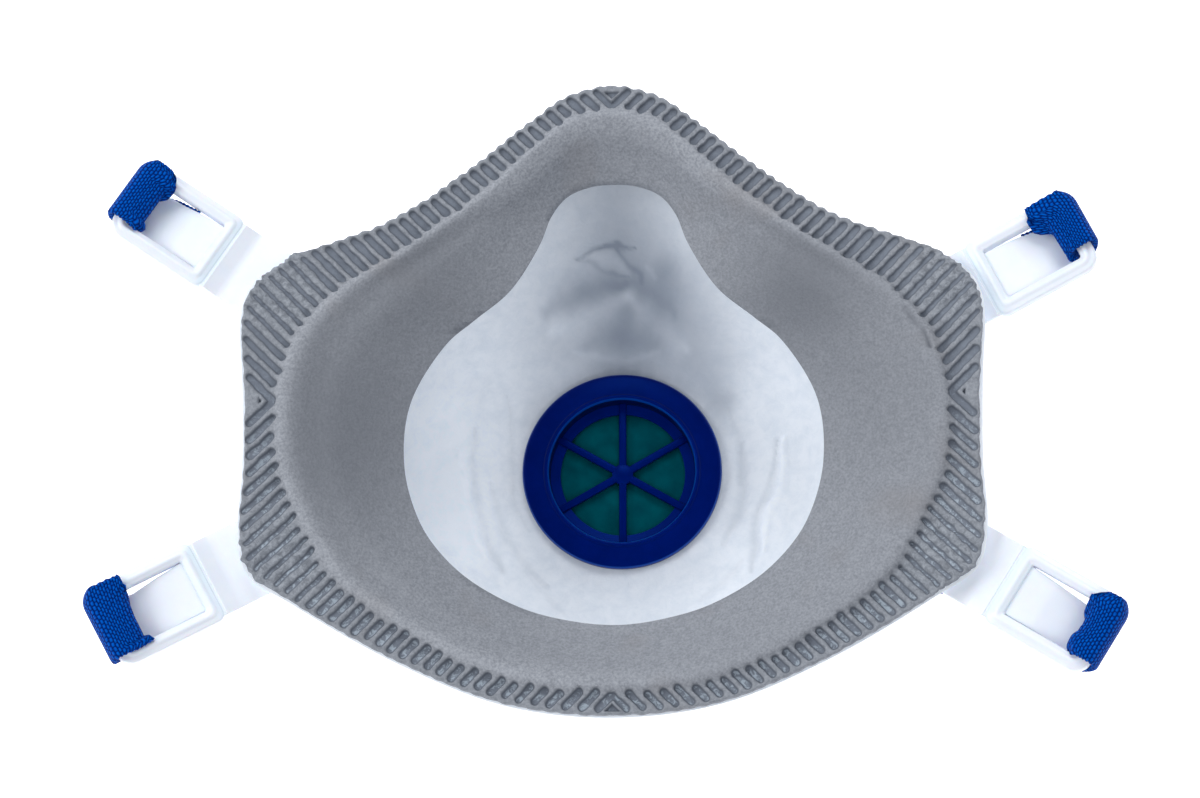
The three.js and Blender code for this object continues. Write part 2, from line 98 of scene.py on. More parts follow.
def wander(x: np.ndarray, y: np.ndarray, length: float, seed: int) -> np.ndarray:
    """Smooth repeatable unevenness.

    Args:
        x: First coordinate, in millimetres.
        y: Second coordinate, in millimetres.
        length: Rough distance from one swell to the next, in millimetres.
        seed: Which of many such patterns to give.

    Returns:
        Values of about -1 to 1, one for each point.
    """
    dice = np.random.default_rng(seed)
    total = np.zeros(np.broadcast(x, y).shape)
    waves = 5
    for _ in range(waves):
        turn, phase, pace = dice.uniform(0, 2 * math.pi, 2).tolist() + [dice.uniform(0.6, 1.6)]
        across = x * math.cos(turn) + y * math.sin(turn)
        total += np.sin(2 * math.pi * pace * across / length + phase)
    return total / math.sqrt(2 * waves)


def loop_curve(points: np.ndarray, at: np.ndarray) -> np.ndarray:
    """Centripetal Catmull-Rom curve that closes on itself.

    Args:
        points: Its points, one row each.
        at: Where to read it, in spans from the first point.

    Returns:
        The curve's points, one row for each place.
    """
    count = len(points)
    span = np.floor(at).astype(int)
    share = (at - span)[:, None]
    p0, p1, p2, p3 = (points[(span + shift) % count] for shift in (-1, 0, 1, 2))
    d0, d1, d2 = (
        np.sqrt(np.linalg.norm(b - a, axis=1))[:, None] for a, b in ((p0, p1), (p1, p2), (p2, p3))
    )
    out = ((p1 - p0) / d0 - (p2 - p0) / (d0 + d1) + (p2 - p1) / d1) * d1
    into = ((p2 - p1) / d1 - (p3 - p1) / (d1 + d2) + (p3 - p2) / d2) * d1
    square = share * share
    cube = square * share
    return (
        p1 * (2 * cube - 3 * square + 1) + out * (cube - 2 * square + share)
        + p2 * (3 * square - 2 * cube) + into * (cube - square)
    )


def open_curve(points: np.ndarray, at: np.ndarray) -> np.ndarray:
    """The same curve through points that do not close, read from 0 to len(points) - 1."""
    first = 2 * points[0] - points[1]
    last = 2 * points[-1] - points[-2]
    closed = np.vstack([first, points, last])
    return loop_curve(closed, np.clip(at, 0, len(points) - 1 - 1e-9) + 1)


def eased(knots: Sequence[tuple[float, float]], at: np.ndarray) -> np.ndarray:
    """Read a profile of (place, value) knots with its corners rounded off."""
    places, values = zip(*knots)
    fine = np.linspace(places[0], places[-1], 401)
    line = np.interp(fine, places, values)
    reach = 22
    padded = np.concatenate([
        2 * line[0] - line[reach:0:-1], line, 2 * line[-1] - line[-2:-reach - 2:-1],
    ])
    window = np.hanning(2 * reach + 1)
    return np.interp(at, fine, np.convolve(padded, window / window.sum(), "valid"))


@dataclass(frozen=True)
class FaceOutline:
    """The three closed lines that the seal and the cup share, and the height of the rim."""

    half_width: float = 70.0
    centre_z: float = 54.0
    cheek_rise: float = 7.0

    def line(self, column: str, at: np.ndarray) -> np.ndarray:
        """Points of one line.

        Args:
            column: rim, weld or mouth.
            at: Where to read it, in stations from the nose.

        Returns:
            Rows of x and y.
        """
        right = np.array([getattr(station, column) for station in STATIONS], float)
        left = right[-2:0:-1] * (-1, 1)
        return loop_curve(np.vstack([right, left]), at)

    def even_places(self, count: int) -> np.ndarray:
        """Places round the outline that lie evenly along its weld line."""
        stations = 2 * (len(STATIONS) - 1)
        fine = np.linspace(0, stations, 6000)
        weld = self.line("weld", fine)
        steps = np.linalg.norm(np.diff(weld, axis=0), axis=1)
        gone = np.concatenate([[0], np.cumsum(steps)])
        return np.interp(np.linspace(0, gone[-1], count, endpoint=False), gone, fine)

    def rim_height(self, x: np.ndarray) -> np.ndarray:
        """Height of the seal's top face on its welded band."""
        return self.centre_z + self.cheek_rise * (x / self.half_width) ** 2


OUTLINE = FaceOutline()


# ---------------------------------------------------------------- meshes
def finish_mesh(name: str, mesh: bmesh.types.BMesh, sharp_deg: float = 45.0) -> bpy.types.Object:
    """Turn a bmesh in millimetres into an object in metres, at the origin.

    Args:
        name: Name of the piece.
        mesh: The shape, which is freed.
        sharp_deg: Edges sharper than this stay crisp.

    Returns:
        The new object, riding on the body.
    """
    bmesh.ops.recalc_face_normals(mesh, faces=mesh.faces)
    bmesh.ops.scale(mesh, vec=(MM, MM, MM), verts=mesh.verts)
    data = bpy.data.meshes.new(name)
    mesh.to_mesh(data)
    mesh.free()
    data.shade_smooth()
    data.set_sharp_from_angle(angle=math.radians(sharp_deg))
    piece = bpy.data.objects.new(name, data)
    bpy.context.collection.objects.link(piece)
    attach(piece, BODY)
    return piece


def draped_grid(
    rows: np.ndarray, close_rows: bool, close_columns: bool, layers: dict[str, np.ndarray] | None = None,
) -> bmesh.types.BMesh:
    """Drape a created grid over rows of points.

    Args:
        rows: Points as an array of rows, columns and x, y, z in millimetres.
        close_rows: Whether each row joins its own start.
        close_columns: Whether the last row joins the first.
        layers: Values for each point, by the name of the layer that keeps them.

    Returns:
        The grid, with its joined edges merged.
    """
    if close_rows:
        rows = np.concatenate([rows, rows[:, :1]], axis=1)
    if close_columns:
        rows = np.concatenate([rows, rows[:1]], axis=0)
    tall, wide = rows.shape[:2]
    mesh = bmesh.new()
    bmesh.ops.create_grid(mesh, x_segments=wide - 1, y_segments=tall - 1, size=1)
    kept = {name: mesh.verts.layers.float.new(name) for name in layers or {}}
    values = {
        name: np.pad(layer, ((0, tall - layer.shape[0]), (0, wide - layer.shape[1])), mode="wrap")
        for name, layer in (layers or {}).items()
    }
    uv = mesh.loops.layers.uv.new("UVMap")
    for vert in mesh.verts:
        column = round((vert.co.x + 1) / 2 * (wide - 1))
        row = round((vert.co.y + 1) / 2 * (tall - 1))
        vert.tag = False
        vert.index = row * wide + column
        for name, layer in kept.items():
            vert[layer] = values[name][row, column]
    for face in mesh.faces:
        for loop in face.loops:
            loop[uv].uv = (loop.vert.co.x / 2 + 0.5, loop.vert.co.y / 2 + 0.5)
    flat = rows.reshape(-1, 3)
    for vert in mesh.verts:
        vert.co = flat[vert.index]
    mesh.verts.index_update()
    if close_rows or close_columns:
        bmesh.ops.remove_doubles(mesh, verts=mesh.verts, dist=1e-4)
    return mesh


def round_edges(mesh: bmesh.types.BMesh, radius: float, segments: int = 3, angle_deg: float = 35.0) -> None:
    """Round every edge of a mesh that is sharper than an angle."""
    limit = math.radians(angle_deg)
    sharp = [edge for edge in mesh.edges if edge.is_manifold and edge.calc_face_angle(0) > limit]
    bmesh.ops.bevel(
        mesh, geom=sharp, offset=radius, affect="EDGES", segments=segments, profile=0.5,
        material=-1, clamp_overlap=True,
    )


def turned(profile: Sequence[tuple[float, float]], closed: bool, steps: int = 128) -> bmesh.types.BMesh:
    """Spin a profile about the Z axis.

    Args:
        profile: Radius and height of each point.
        closed: Whether the last point joins the first.
        steps: Facets in a full turn.

    Returns:
        The turned shape.
    """
    mesh = bmesh.new()
    verts = [mesh.verts.new((radius, 0, height)) for radius, height in profile]
    pairs = list(zip(verts, verts[1:])) + ([(verts[-1], verts[0])] if closed else [])
    edges = [mesh.edges.new(pair) for pair in pairs]
    bmesh.ops.spin(
        mesh, geom=verts + edges, cent=(0, 0, 0), axis=(0, 0, 1), dvec=(0, 0, 0),
        angle=2 * math.pi, steps=steps, use_merge=True, use_duplicate=False,
    )
    bmesh.ops.remove_doubles(mesh, verts=mesh.verts, dist=1e-4)
    bmesh.ops.recalc_face_normals(mesh, faces=mesh.faces)
    return mesh


def block(low: Sequence[float], high: Sequence[float]) -> bmesh.types.BMesh:
    """Box between two corners."""
    mesh = bmesh.new()
    bmesh.ops.create_cube(mesh, size=1)
    centre = (Vector(low) + Vector(high)) / 2
    bmesh.ops.scale(mesh, vec=Vector(high) - Vector(low), verts=mesh.verts)
    bmesh.ops.translate(mesh, vec=centre, verts=mesh.verts)
    return mesh


def merge_into(target: bmesh.types.BMesh, extra: bmesh.types.BMesh) -> None:
    """Add one mesh to another and free it."""
    scratch = bpy.data.meshes.new("scratch")
    extra.to_mesh(scratch)
    extra.free()
    target.from_mesh(scratch)
    bpy.data.meshes.remove(scratch)


# ---------------------------------------------------------------- materials
def srgb(code: str) -> tuple[float, float, float, float]:
    """Linear colour of an sRGB hex code such as "#8090a0"."""
    parts = [int(code[i:i + 2], 16) / 255 for i in (1, 3, 5)]
    linear = [part / 12.92 if part <= 0.04045 else ((part + 0.055) / 1.055) ** 2.4 for part in parts]
    return (*linear, 1.0)


def add_node(
    tree: bpy.types.NodeTree, kind: str, settings: Settings | None = None, links: Links | None = None,
) -> bpy.types.Node:
    """Add a node.

    Args:
        tree: Where it goes.
        kind: Its type's name.
        settings: Properties and unlinked inputs, by name or input number as text.
        links: The sockets that feed its inputs, by input name or number as text.

    Returns:
        The new node.
    """
    node = tree.nodes.new(kind)
    for name, value in (settings or {}).items():
        if name.isdigit():
            node.inputs[int(name)].default_value = value
        elif name in node.inputs:
            node.inputs[name].default_value = value
        else:
            setattr(node, name, value)
    for name, socket in (links or {}).items():
        tree.links.new(socket, node.inputs[int(name)] if name.isdigit() else node.inputs[name])
    return node


def add_ramp(
    tree: bpy.types.NodeTree, stops: Sequence[tuple[float, str]], factor: bpy.types.NodeSocket,
) -> bpy.types.NodeSocket:
    """Colour ramp.

    Args:
        tree: Where it goes.
        stops: Place and sRGB hex colour of each stop.
        factor: What drives it.

    Returns:
        The colour socket.
    """
    node = add_node(tree, "ShaderNodeValToRGB", links={"Fac": factor})
    elements = node.color_ramp.elements
    while len(elements) < len(stops):
        elements.new(0.5)
    for element, (place, code) in zip(elements, stops):
        element.position = place
        element.color = srgb(code)
    return node.outputs["Color"]


def new_material(name: str) -> tuple[bpy.types.Material, bpy.types.NodeTree, bpy.types.Node]:
    """Material with its node tree and its Principled shader."""
    material = bpy.data.materials.new(name)
    material.use_nodes = True
    tree = material.node_tree
    shader = next(node for node in tree.nodes if node.type == "BSDF_PRINCIPLED")
    return material, tree, shader


def set_shader(shader: bpy.types.Node, **values: object) -> None:
    """Set constants on the shader's own sockets, with underscores for spaces."""
    for name, value in values.items():
        shader.inputs[name.replace("_", " ")].default_value = value


def per_mm(length: float) -> float:
    """Texture scale in metres that gives one swell for each length in millimetres."""
    return 1 / (length * MM)


def place_of(tree: bpy.types.NodeTree) -> bpy.types.NodeSocket:
    """Place on the object, in metres."""
    return add_node(tree, "ShaderNodeTexCoord").outputs["Object"]


def noise(
    tree: bpy.types.NodeTree, place: bpy.types.NodeSocket, grain_mm: float, detail: float,
    roughness: float = 0.5, distortion: float = 0.0,
) -> bpy.types.NodeSocket:
    """Noise from 0 to 1.

    Args:
        tree: Where it goes.
        place: Where it is read.
        grain_mm: Rough size of its grain, in millimetres.
        detail: How many finer layers it has.
        roughness: How strong those are.
        distortion: How far it is drawn about.

    Returns:
        Its value.
    """
    return add_node(tree, "ShaderNodeTexNoise", {
        "Scale": per_mm(grain_mm), "Detail": detail, "Roughness": roughness, "Distortion": distortion,
    }, {"Vector": place}).outputs["Fac"]


def layer_of(tree: bpy.types.NodeTree, name: str) -> bpy.types.NodeSocket:
    """Value of one of the mesh's own layers."""
    return add_node(tree, "ShaderNodeAttribute", {"attribute_name": name}).outputs["Fac"]


def remap(
    tree: bpy.types.NodeTree, value: bpy.types.NodeSocket, low: float, high: float,
    to_low: float = 0.0, to_high: float = 1.0,
) -> bpy.types.NodeSocket:
    """Carry the span from low to high over to another span, and hold it at both ends.

    Args:
        tree: Where it goes.
        value: What is read.
        low: Start of the span.
        high: End of the span.
        to_low: What low becomes.
        to_high: What high becomes.

    Returns:
        The new value.
    """
    return add_node(tree, "ShaderNodeMapRange", {
        "From Min": low, "From Max": high, "To Min": to_low, "To Max": to_high,
    }, {"Value": value}).outputs["Result"]


def blend(
    tree: bpy.types.NodeTree, factor: bpy.types.NodeSocket,
    first: bpy.types.NodeSocket | str, second: bpy.types.NodeSocket | str,
) -> bpy.types.NodeSocket:
    """Mix of two colours.

    Args:
        tree: Where it goes.
        factor: 0 for the first colour, 1 for the second.
        first: A socket or an sRGB hex code.
        second: Another.

    Returns:
        The mixed colour.
    """
    pair = {"6": first, "7": second}
    codes = {key: srgb(value) for key, value in pair.items() if isinstance(value, str)}
    fed = {key: value for key, value in pair.items() if key not in codes}
    return add_node(
        tree, "ShaderNodeMix", {"data_type": "RGBA", **codes}, {"Factor": factor, **fed},
    ).outputs[2]


def finish_shader(
    tree: bpy.types.NodeTree, shader: bpy.types.Node, colour: bpy.types.NodeSocket,
    height: bpy.types.NodeSocket, strength: float, depth_mm: float,
) -> None:
    """Feed the shader its colour and its relief.

    Args:
        tree: Where the nodes go.
        shader: What they feed.
        colour: The base colour.
        height: The relief, from 0 to 1.
        strength: How much of the relief shows.
        depth_mm: How deep it is, in millimetres.
    """
    bump = add_node(
        tree, "ShaderNodeBump", {"Strength": strength, "Distance": depth_mm * MM}, {"Height": height},
    )
    tree.links.new(colour, shader.inputs["Base Color"])
    tree.links.new(bump.outputs["Normal"], shader.inputs["Normal"])


@dataclass(frozen=True)
class OpenCellFoam:
    """Polyurethane foam, skived and welded: matt and finely mottled, glazed where it melted."""

    light: str = "#a4a8af"
    dark: str = "#858990"
    tint: str = "#8b8786"
    # In the foam this is the dark tone of pressed, melted foam, with no painted shade in it.
    packed_and_painted_shade: str = "#656b73"
    melted: str = "#999fa7"
    shadow: str = "#6a6e75"
    outline: str = "#565c65"
    pressed: str = "#747b86"
    glint: str = "#a0acb7"
    cell_mm: float = 0.5
    mottle_mm: float = 2.0
    film_mm: float = 1.1
    stain_mm: float = 17.0

    def build(self) -> bpy.types.Material:
        """Make the material.

        The mesh layer slot says how many millimetres inside a weld slot a place is, glaze how
        much melted film its floor carries, singed how far the welding has pressed the foam together,
        and the last layer how much painted shade darkens the foam.
        """
        material, tree, shader = new_material("open_cell_foam")
        place = place_of(tree)
        cells = noise(tree, place, self.cell_mm, 2.0, 0.6)
        mottle = noise(tree, place, self.mottle_mm, 4.0, 0.65)
        film = noise(tree, place, self.film_mm, 4.0, 0.7, 0.6)
        slot = layer_of(tree, "slot")
        grain = add_node(tree, "ShaderNodeMix", {"data_type": "FLOAT", "0": 0.3}, {
            "2": cells, "3": mottle,
        }).outputs[0]
        foam = add_ramp(tree, ((0.34, self.dark), (0.66, self.light)), grain)
        stain = remap(tree, noise(tree, place, self.stain_mm, 2.0), 0.6, 0.8, to_high=0.5)
        foam = blend(tree, stain, foam, self.tint)
        # Painted shade: the foam darkens towards the shadow colour where its painted-shade layer says.
        foam = blend(tree, layer_of(tree, "foam_painted_shade"), foam, self.shadow)
        melted = add_ramp(tree, ((0.38, self.packed_and_painted_shade), (0.62, self.melted)), film)
        foam = blend(tree, layer_of(tree, "singed"), foam, melted)
        inside = remap(tree, slot, -0.12, 0.08)
        # Painted shade: each slot's floor darkens towards a dark line along its edges.
        away = remap(tree, slot, 0.08, 0.3, to_low=0.35)
        floor = blend(tree, away, self.outline, self.pressed)
        patch = remap(tree, film, 0.48, 0.58)
        for other in (remap(tree, slot, 0.2, 0.34), layer_of(tree, "glaze")):
            patch = add_node(tree, "ShaderNodeMath", {"operation": "MULTIPLY"}, {
                "0": patch, "1": other,
            }).outputs[0]
        floor = blend(tree, patch, floor, self.glint)
        rough = remap(tree, patch, 0.0, 1.0, 0.92, 0.4)
        relief = add_node(tree, "ShaderNodeMix", {"data_type": "FLOAT"}, {
            "0": inside, "2": cells, "3": film,
        }).outputs[0]
        finish_shader(tree, shader, blend(tree, inside, foam, floor), relief, 0.4, 0.3)
        tree.links.new(rough, shader.inputs["Roughness"])
        set_shader(shader, IOR=1.35)
        return material


@dataclass(frozen=True)
class MouldedFelt:
    """Heat-moulded polyester filter felt: soft white fibres, greyed in places by painted shade.

    A little of the table's light seeps through the thin wall, which seep stands for.
    """

    light: str = "#eff4fa"
    dark: str = "#e4ebf3"
    # Grey of the painted shade that the shade layer mixes in.
    packed_and_painted_shade: str = "#78818f"
    fibre_mm: float = 0.7
    cloud_mm: float = 3.2
    seep: float = 0.2

    def build(self) -> bpy.types.Material:
        """Make the material. The mesh layer shade says how much painted shade greys the felt."""
        material, tree, shader = new_material("moulded_filter_felt")
        place = place_of(tree)
        fibres = noise(tree, place, self.fibre_mm, 3.0, 0.65, 1.5)
        clouds = noise(tree, place, self.cloud_mm, 6.0, 0.72, 0.3)
        felt = add_ramp(tree, ((0.36, self.dark), (0.6, self.light)), clouds)
        # Painted shade: the felt is mixed towards a darker grey where the shade layer says.
        colour = blend(tree, layer_of(tree, "shade"), felt, self.packed_and_painted_shade)
        relief = add_node(tree, "ShaderNodeMath", {"operation": "MULTIPLY_ADD", "1": 0.16}, {
            "0": fibres, "2": clouds,
        }).outputs[0]
        finish_shader(tree, shader, colour, relief, 0.35, 0.7)
        tree.links.new(colour, shader.inputs["Emission Color"])
        set_shader(shader, Roughness=0.8, IOR=1.4, Emission_Strength=self.seep)
        return material


@dataclass(frozen=True)
class MouldedPlastic:
    """Injection-moulded plastic: an even colour with a faint mould texture and small scuffs.

    gloss tints its highlights, and subsurface lets a pale one glow a little at its thin edges.
    """

    name: str
    colour: str
    worn: str
    roughness: float
    ior: float = 1.49
    subsurface: float = 0.0
    gloss: str = "#ffffff"
    texture_mm: float = 0.4
    scuff_mm: float = 6.0

    def build(self) -> bpy.types.Material:
        """Make the material."""
        material, tree, shader = new_material(self.name)
        place = place_of(tree)
        clouds = noise(tree, place, self.scuff_mm, 5.0, 0.7)
        colour = add_ramp(tree, ((0.3, self.colour), (0.85, self.worn)), clouds)
        finish_shader(tree, shader, colour, noise(tree, place, self.texture_mm, 3.0), 0.08, 0.1)
        rough = remap(tree, clouds, 0.0, 1.0, self.roughness - 0.08, self.roughness + 0.12)
        tree.links.new(rough, shader.inputs["Roughness"])
        set_shader(
            shader, IOR=self.ior, Specular_Tint=srgb(self.gloss),
            Subsurface_Weight=self.subsurface, Subsurface_Scale=1.5 * MM,
        )
        return material


@dataclass(frozen=True)
class SiliconeFlap:
    """Thin teal silicone, satin and slightly cloudy."""

    light: str = "#00525c"
    dark: str = "#003e4a"
    gloss: str = "#00b4c8"
    cloud_mm: float = 4.0

    def build(self) -> bpy.types.Material:
        """Make the material."""
        material, tree, shader = new_material("silicone_flap")
        clouds = noise(tree, place_of(tree), self.cloud_mm, 4.0)
        colour = add_ramp(tree, ((0.3, self.dark), (0.7, self.light)), clouds)
        tree.links.new(colour, shader.inputs["Base Color"])
        set_shader(shader, Roughness=0.45, IOR=1.41, Specular_Tint=srgb(self.gloss))
        return material


@dataclass(frozen=True)
class KnittedElastic:
    """Royal blue polyester knit over rubber: bricked rows of small oval stitches, with painted highlight
    on their tops and painted shade between them.
    """

    thread_painted_highlight: str = "#005ec4"
    shade: str = "#003f9c"
    gap_painted_shade: str = "#001c56"
    gloss: str = "#0048ff"
    stitch_across_mm: float = 0.8
    stitch_along_mm: float = 0.52
    fuzz_mm: float = 0.35
    sway_mm: float = 2.2

    def build(self) -> bpy.types.Material:
        """Make the material. The UV map is in millimetres: across the band, then along it."""
        material, tree, shader = new_material("knitted_elastic")
        uv = add_node(tree, "ShaderNodeUVMap", {"uv_map": "UVMap"}).outputs["UV"]
        split = add_node(tree, "ShaderNodeSeparateXYZ", links={"Vector": uv})

        def maths(operation: str, first: object, second: object = 0.0) -> bpy.types.NodeSocket:
            """One arithmetic step on sockets or numbers."""
            pair = {"0": first, "1": second}
            held = {key: value for key, value in pair.items() if isinstance(value, (int, float))}
            fed = {key: value for key, value in pair.items() if key not in held}
            return add_node(tree, "ShaderNodeMath", {"operation": operation, **held}, fed).outputs[0]

        place = place_of(tree)
        fuzz = noise(tree, place, self.fuzz_mm, 3.0)
        sway = maths("MULTIPLY", noise(tree, place, self.sway_mm, 1.0), 0.5)
        row = maths("ADD", maths("DIVIDE", split.outputs["Y"], self.stitch_along_mm), sway)
        brick = maths("MULTIPLY", maths("MODULO", maths("FLOOR", row), 2.0), 0.5)
        column = maths("ADD", maths("DIVIDE", split.outputs["X"], self.stitch_across_mm), brick)
        bulge_row = maths("ABSOLUTE", maths("SINE", maths("MULTIPLY", row, math.pi)))
        bulge_column = maths("ABSOLUTE", maths("SINE", maths("MULTIPLY", column, math.pi)))
        height = maths("MULTIPLY", maths("POWER", bulge_row, 0.8), maths("POWER", bulge_column, 0.55))
        # Painted highlight on the stitch tops and painted shade in the hollows between them, mottled by the
        # yarn's fuzz.
        tone = maths("MULTIPLY", height, maths("ADD", maths("MULTIPLY", fuzz, 1.3), 0.35))
        colour = add_ramp(tree, ((0.15, self.gap_painted_shade), (0.5, self.shade), (1.0, self.thread_painted_highlight)), tone)
        finish_shader(tree, shader, colour, height, 0.9, 0.3)
        set_shader(shader, Roughness=0.75, IOR=1.4, Specular_Tint=srgb(self.gloss))
        return material


@dataclass(frozen=True)
class TableAcrylic:
    """White acrylic table, matt and faintly lit from below."""

    colour: str = "#fcfcfd"
    glow: float = 0.6

    def build(self) -> bpy.types.Material:
        """Make the material."""
        material, _, shader = new_material("table_acrylic")
        set_shader(
            shader, Base_Color=srgb(self.colour), Roughness=0.9,
            Emission_Color=srgb(self.colour), Emission_Strength=self.glow,
        )
        return material


# ---------------------------------------------------------------- the face seal
class Quarter(NamedTuple):
    """One quarter of the band: the signs of its two sides, and the seed of its small differences."""

    side_x: int
    side_y: int
    seed: int


QUARTERS = (Quarter(1, 1, 41), Quarter(1, -1, 42), Quarter(-1, -1, 43), Quarter(-1, 1, 44))


@dataclass(frozen=True)
class WeldSlots:
    """Parallel recesses that the welding tool leaves, slanting outwards in each quarter."""

    pitch: float = 2.33
    width: float = 1.5
    depth: float = 0.75
    edge_margin: float = 0.6
    cheek_y: float = 2.8
    apex_out: float = 0.4
    corners: tuple[tuple[float, float], ...] = ((-64, 25), (64, 25), (-61, -27), (61, -27))
    corner_reach: float = 10.0
    corner_width: float = 0.6
    notch_from: float = 2.1
    notch_to: float = 3.5

    def farthest(
        self, line: np.ndarray, side: np.ndarray, out: np.ndarray, offsets: np.ndarray,
    ) -> np.ndarray:
        """How far out each parallel ray last crosses a closed line.

        Args:
            line: Points of the line.
            side: Direction across the rays.
            out: Direction of the rays.
            offsets: Place of each ray along side.

        Returns:
            One distance for each ray, 0 where it never crosses.
        """
        rel = line - (0, self.cheek_y)
        across, along = rel @ side, rel @ out
        next_across, next_along = np.roll(across, -1), np.roll(along, -1)
        reach = []
        for offset in offsets:
            hit = (across - offset) * (next_across - offset) < 0
            share = (offset - across[hit]) / (next_across[hit] - across[hit])
            reach.append(np.max(along[hit] + share * (next_along[hit] - along[hit]), initial=0))
        return np.array(reach)

    def cornering(self, x: np.ndarray, y: np.ndarray) -> np.ndarray:
        """1 in the four spread corners, where the slots close up to cracks, and 0 elsewhere."""
        near = [
            np.exp(-(((x - cx) ** 2 + (y - cy) ** 2) / self.corner_reach ** 2) ** 2)
            for cx, cy in self.corners
        ]
        return np.max(near, axis=0)

    def quarter_slots(self, quarter: Quarter, x: np.ndarray, y: np.ndarray) -> np.ndarray:
        """Millimetres that each place lies inside the nearest slot of one quarter.

        Args:
            quarter: Which quarter.
            x: Places across the part.
            y: Places up the part.

        Returns:
            Positive in a slot, negative outside.
        """
        at = np.linspace(0, 2 * (len(STATIONS) - 1), 1500, endpoint=False)
        rim, weld = OUTLINE.line("rim", at), OUTLINE.line("weld", at)
        dice = np.random.default_rng(quarter.seed)
        out = np.array((quarter.side_x, quarter.side_y)) / math.sqrt(2)
        side = np.array((-out[1], out[0]))
        end_station = STATIONS[0] if quarter.side_y > 0 else STATIONS[-1]
        tip = np.array((0, end_station.weld[1] - self.cheek_y + quarter.side_y * self.apex_out))
        cheek = np.array((quarter.side_x * (CHEEK_WELD_X + self.apex_out), 0))
        first, last = float(tip @ side), float(cheek @ side)
        count = round(abs(last - first) / self.pitch)
        offsets = np.linspace(first, last, count + 1)
        start = self.farthest(weld, side, out, offsets)
        end = self.farthest(rim, side, out, offsets) - self.edge_margin
        to_axes = [-offsets * side[axis] / out[axis] for axis in (0, 1)]
        start = start + dice.uniform(-0.75, 0.1, count + 1)
        start[[0, -1]] = np.maximum(*to_axes)[[0, -1]] - 0.35
        start = np.maximum(start, np.maximum(*to_axes) - 0.35)
        end = end + dice.uniform(-0.25, 0.3, count + 1)
        girth = self.width * dice.uniform(0.88, 1.1, count + 1)
        corner = self.cornering(x, y)
        rel_x, rel_y = x, y - self.cheek_y
        across = (rel_x * side[0] + rel_y * side[1] - first) / (last - first) * count
        along = rel_x * out[0] + rel_y * out[1]
        across = across + 0.03 * wander(along, across * 9, 6.0, quarter.seed + 20)
        across = across + 0.05 * corner * wander(along, across * 5, 2.4, quarter.seed + 30)
        nearest = np.clip(np.round(across), 0, count).astype(int)
        swell = 1 + 0.1 * wander(along * 1.7, nearest * 7.0, 4.0, quarter.seed + 40)
        half = girth[nearest] * (1 + (self.corner_width - 1) * corner) / 2 * swell
        lateral = np.abs(across - nearest) * self.pitch
        beyond = np.maximum(np.maximum(start[nearest] + half - along, along - end[nearest] + half), 0)
        own_side = np.minimum(x * quarter.side_x, (y - self.cheek_y) * quarter.side_y)
        return np.where(own_side > -0.9, half - np.hypot(lateral, beyond), -1.0)

    def notches(self, x: np.ndarray, y: np.ndarray) -> np.ndarray:
        """Millimetres inside the small three-sided marks where the slots change direction."""
        nose, chin, cheek = STATIONS[0].weld[1], STATIONS[-1].weld[1], CHEEK_WELD_X
        best = np.full(x.shape, -1.0)
        places = (
            (y - nose, x, 0.0), (chin - y, x, 0.0), (x - cheek, y - self.cheek_y, 0.34),
            (-x - cheek, y - self.cheek_y, 0.34),
        )
        for out, off, less in places:
            inside = np.minimum((out - self.notch_from - np.abs(off) * 0.95) * 0.75, self.notch_to - out)
            best = np.maximum(best, inside - less)
        return best

    def inside(self, x: np.ndarray, y: np.ndarray) -> np.ndarray:
        """Millimetres that each place lies inside a slot, from -1 outside to about 0.6."""
        marks = [self.quarter_slots(quarter, x, y) for quarter in QUARTERS]
        return np.clip(np.max([*marks, self.notches(x, y)], axis=0), -1, 1)


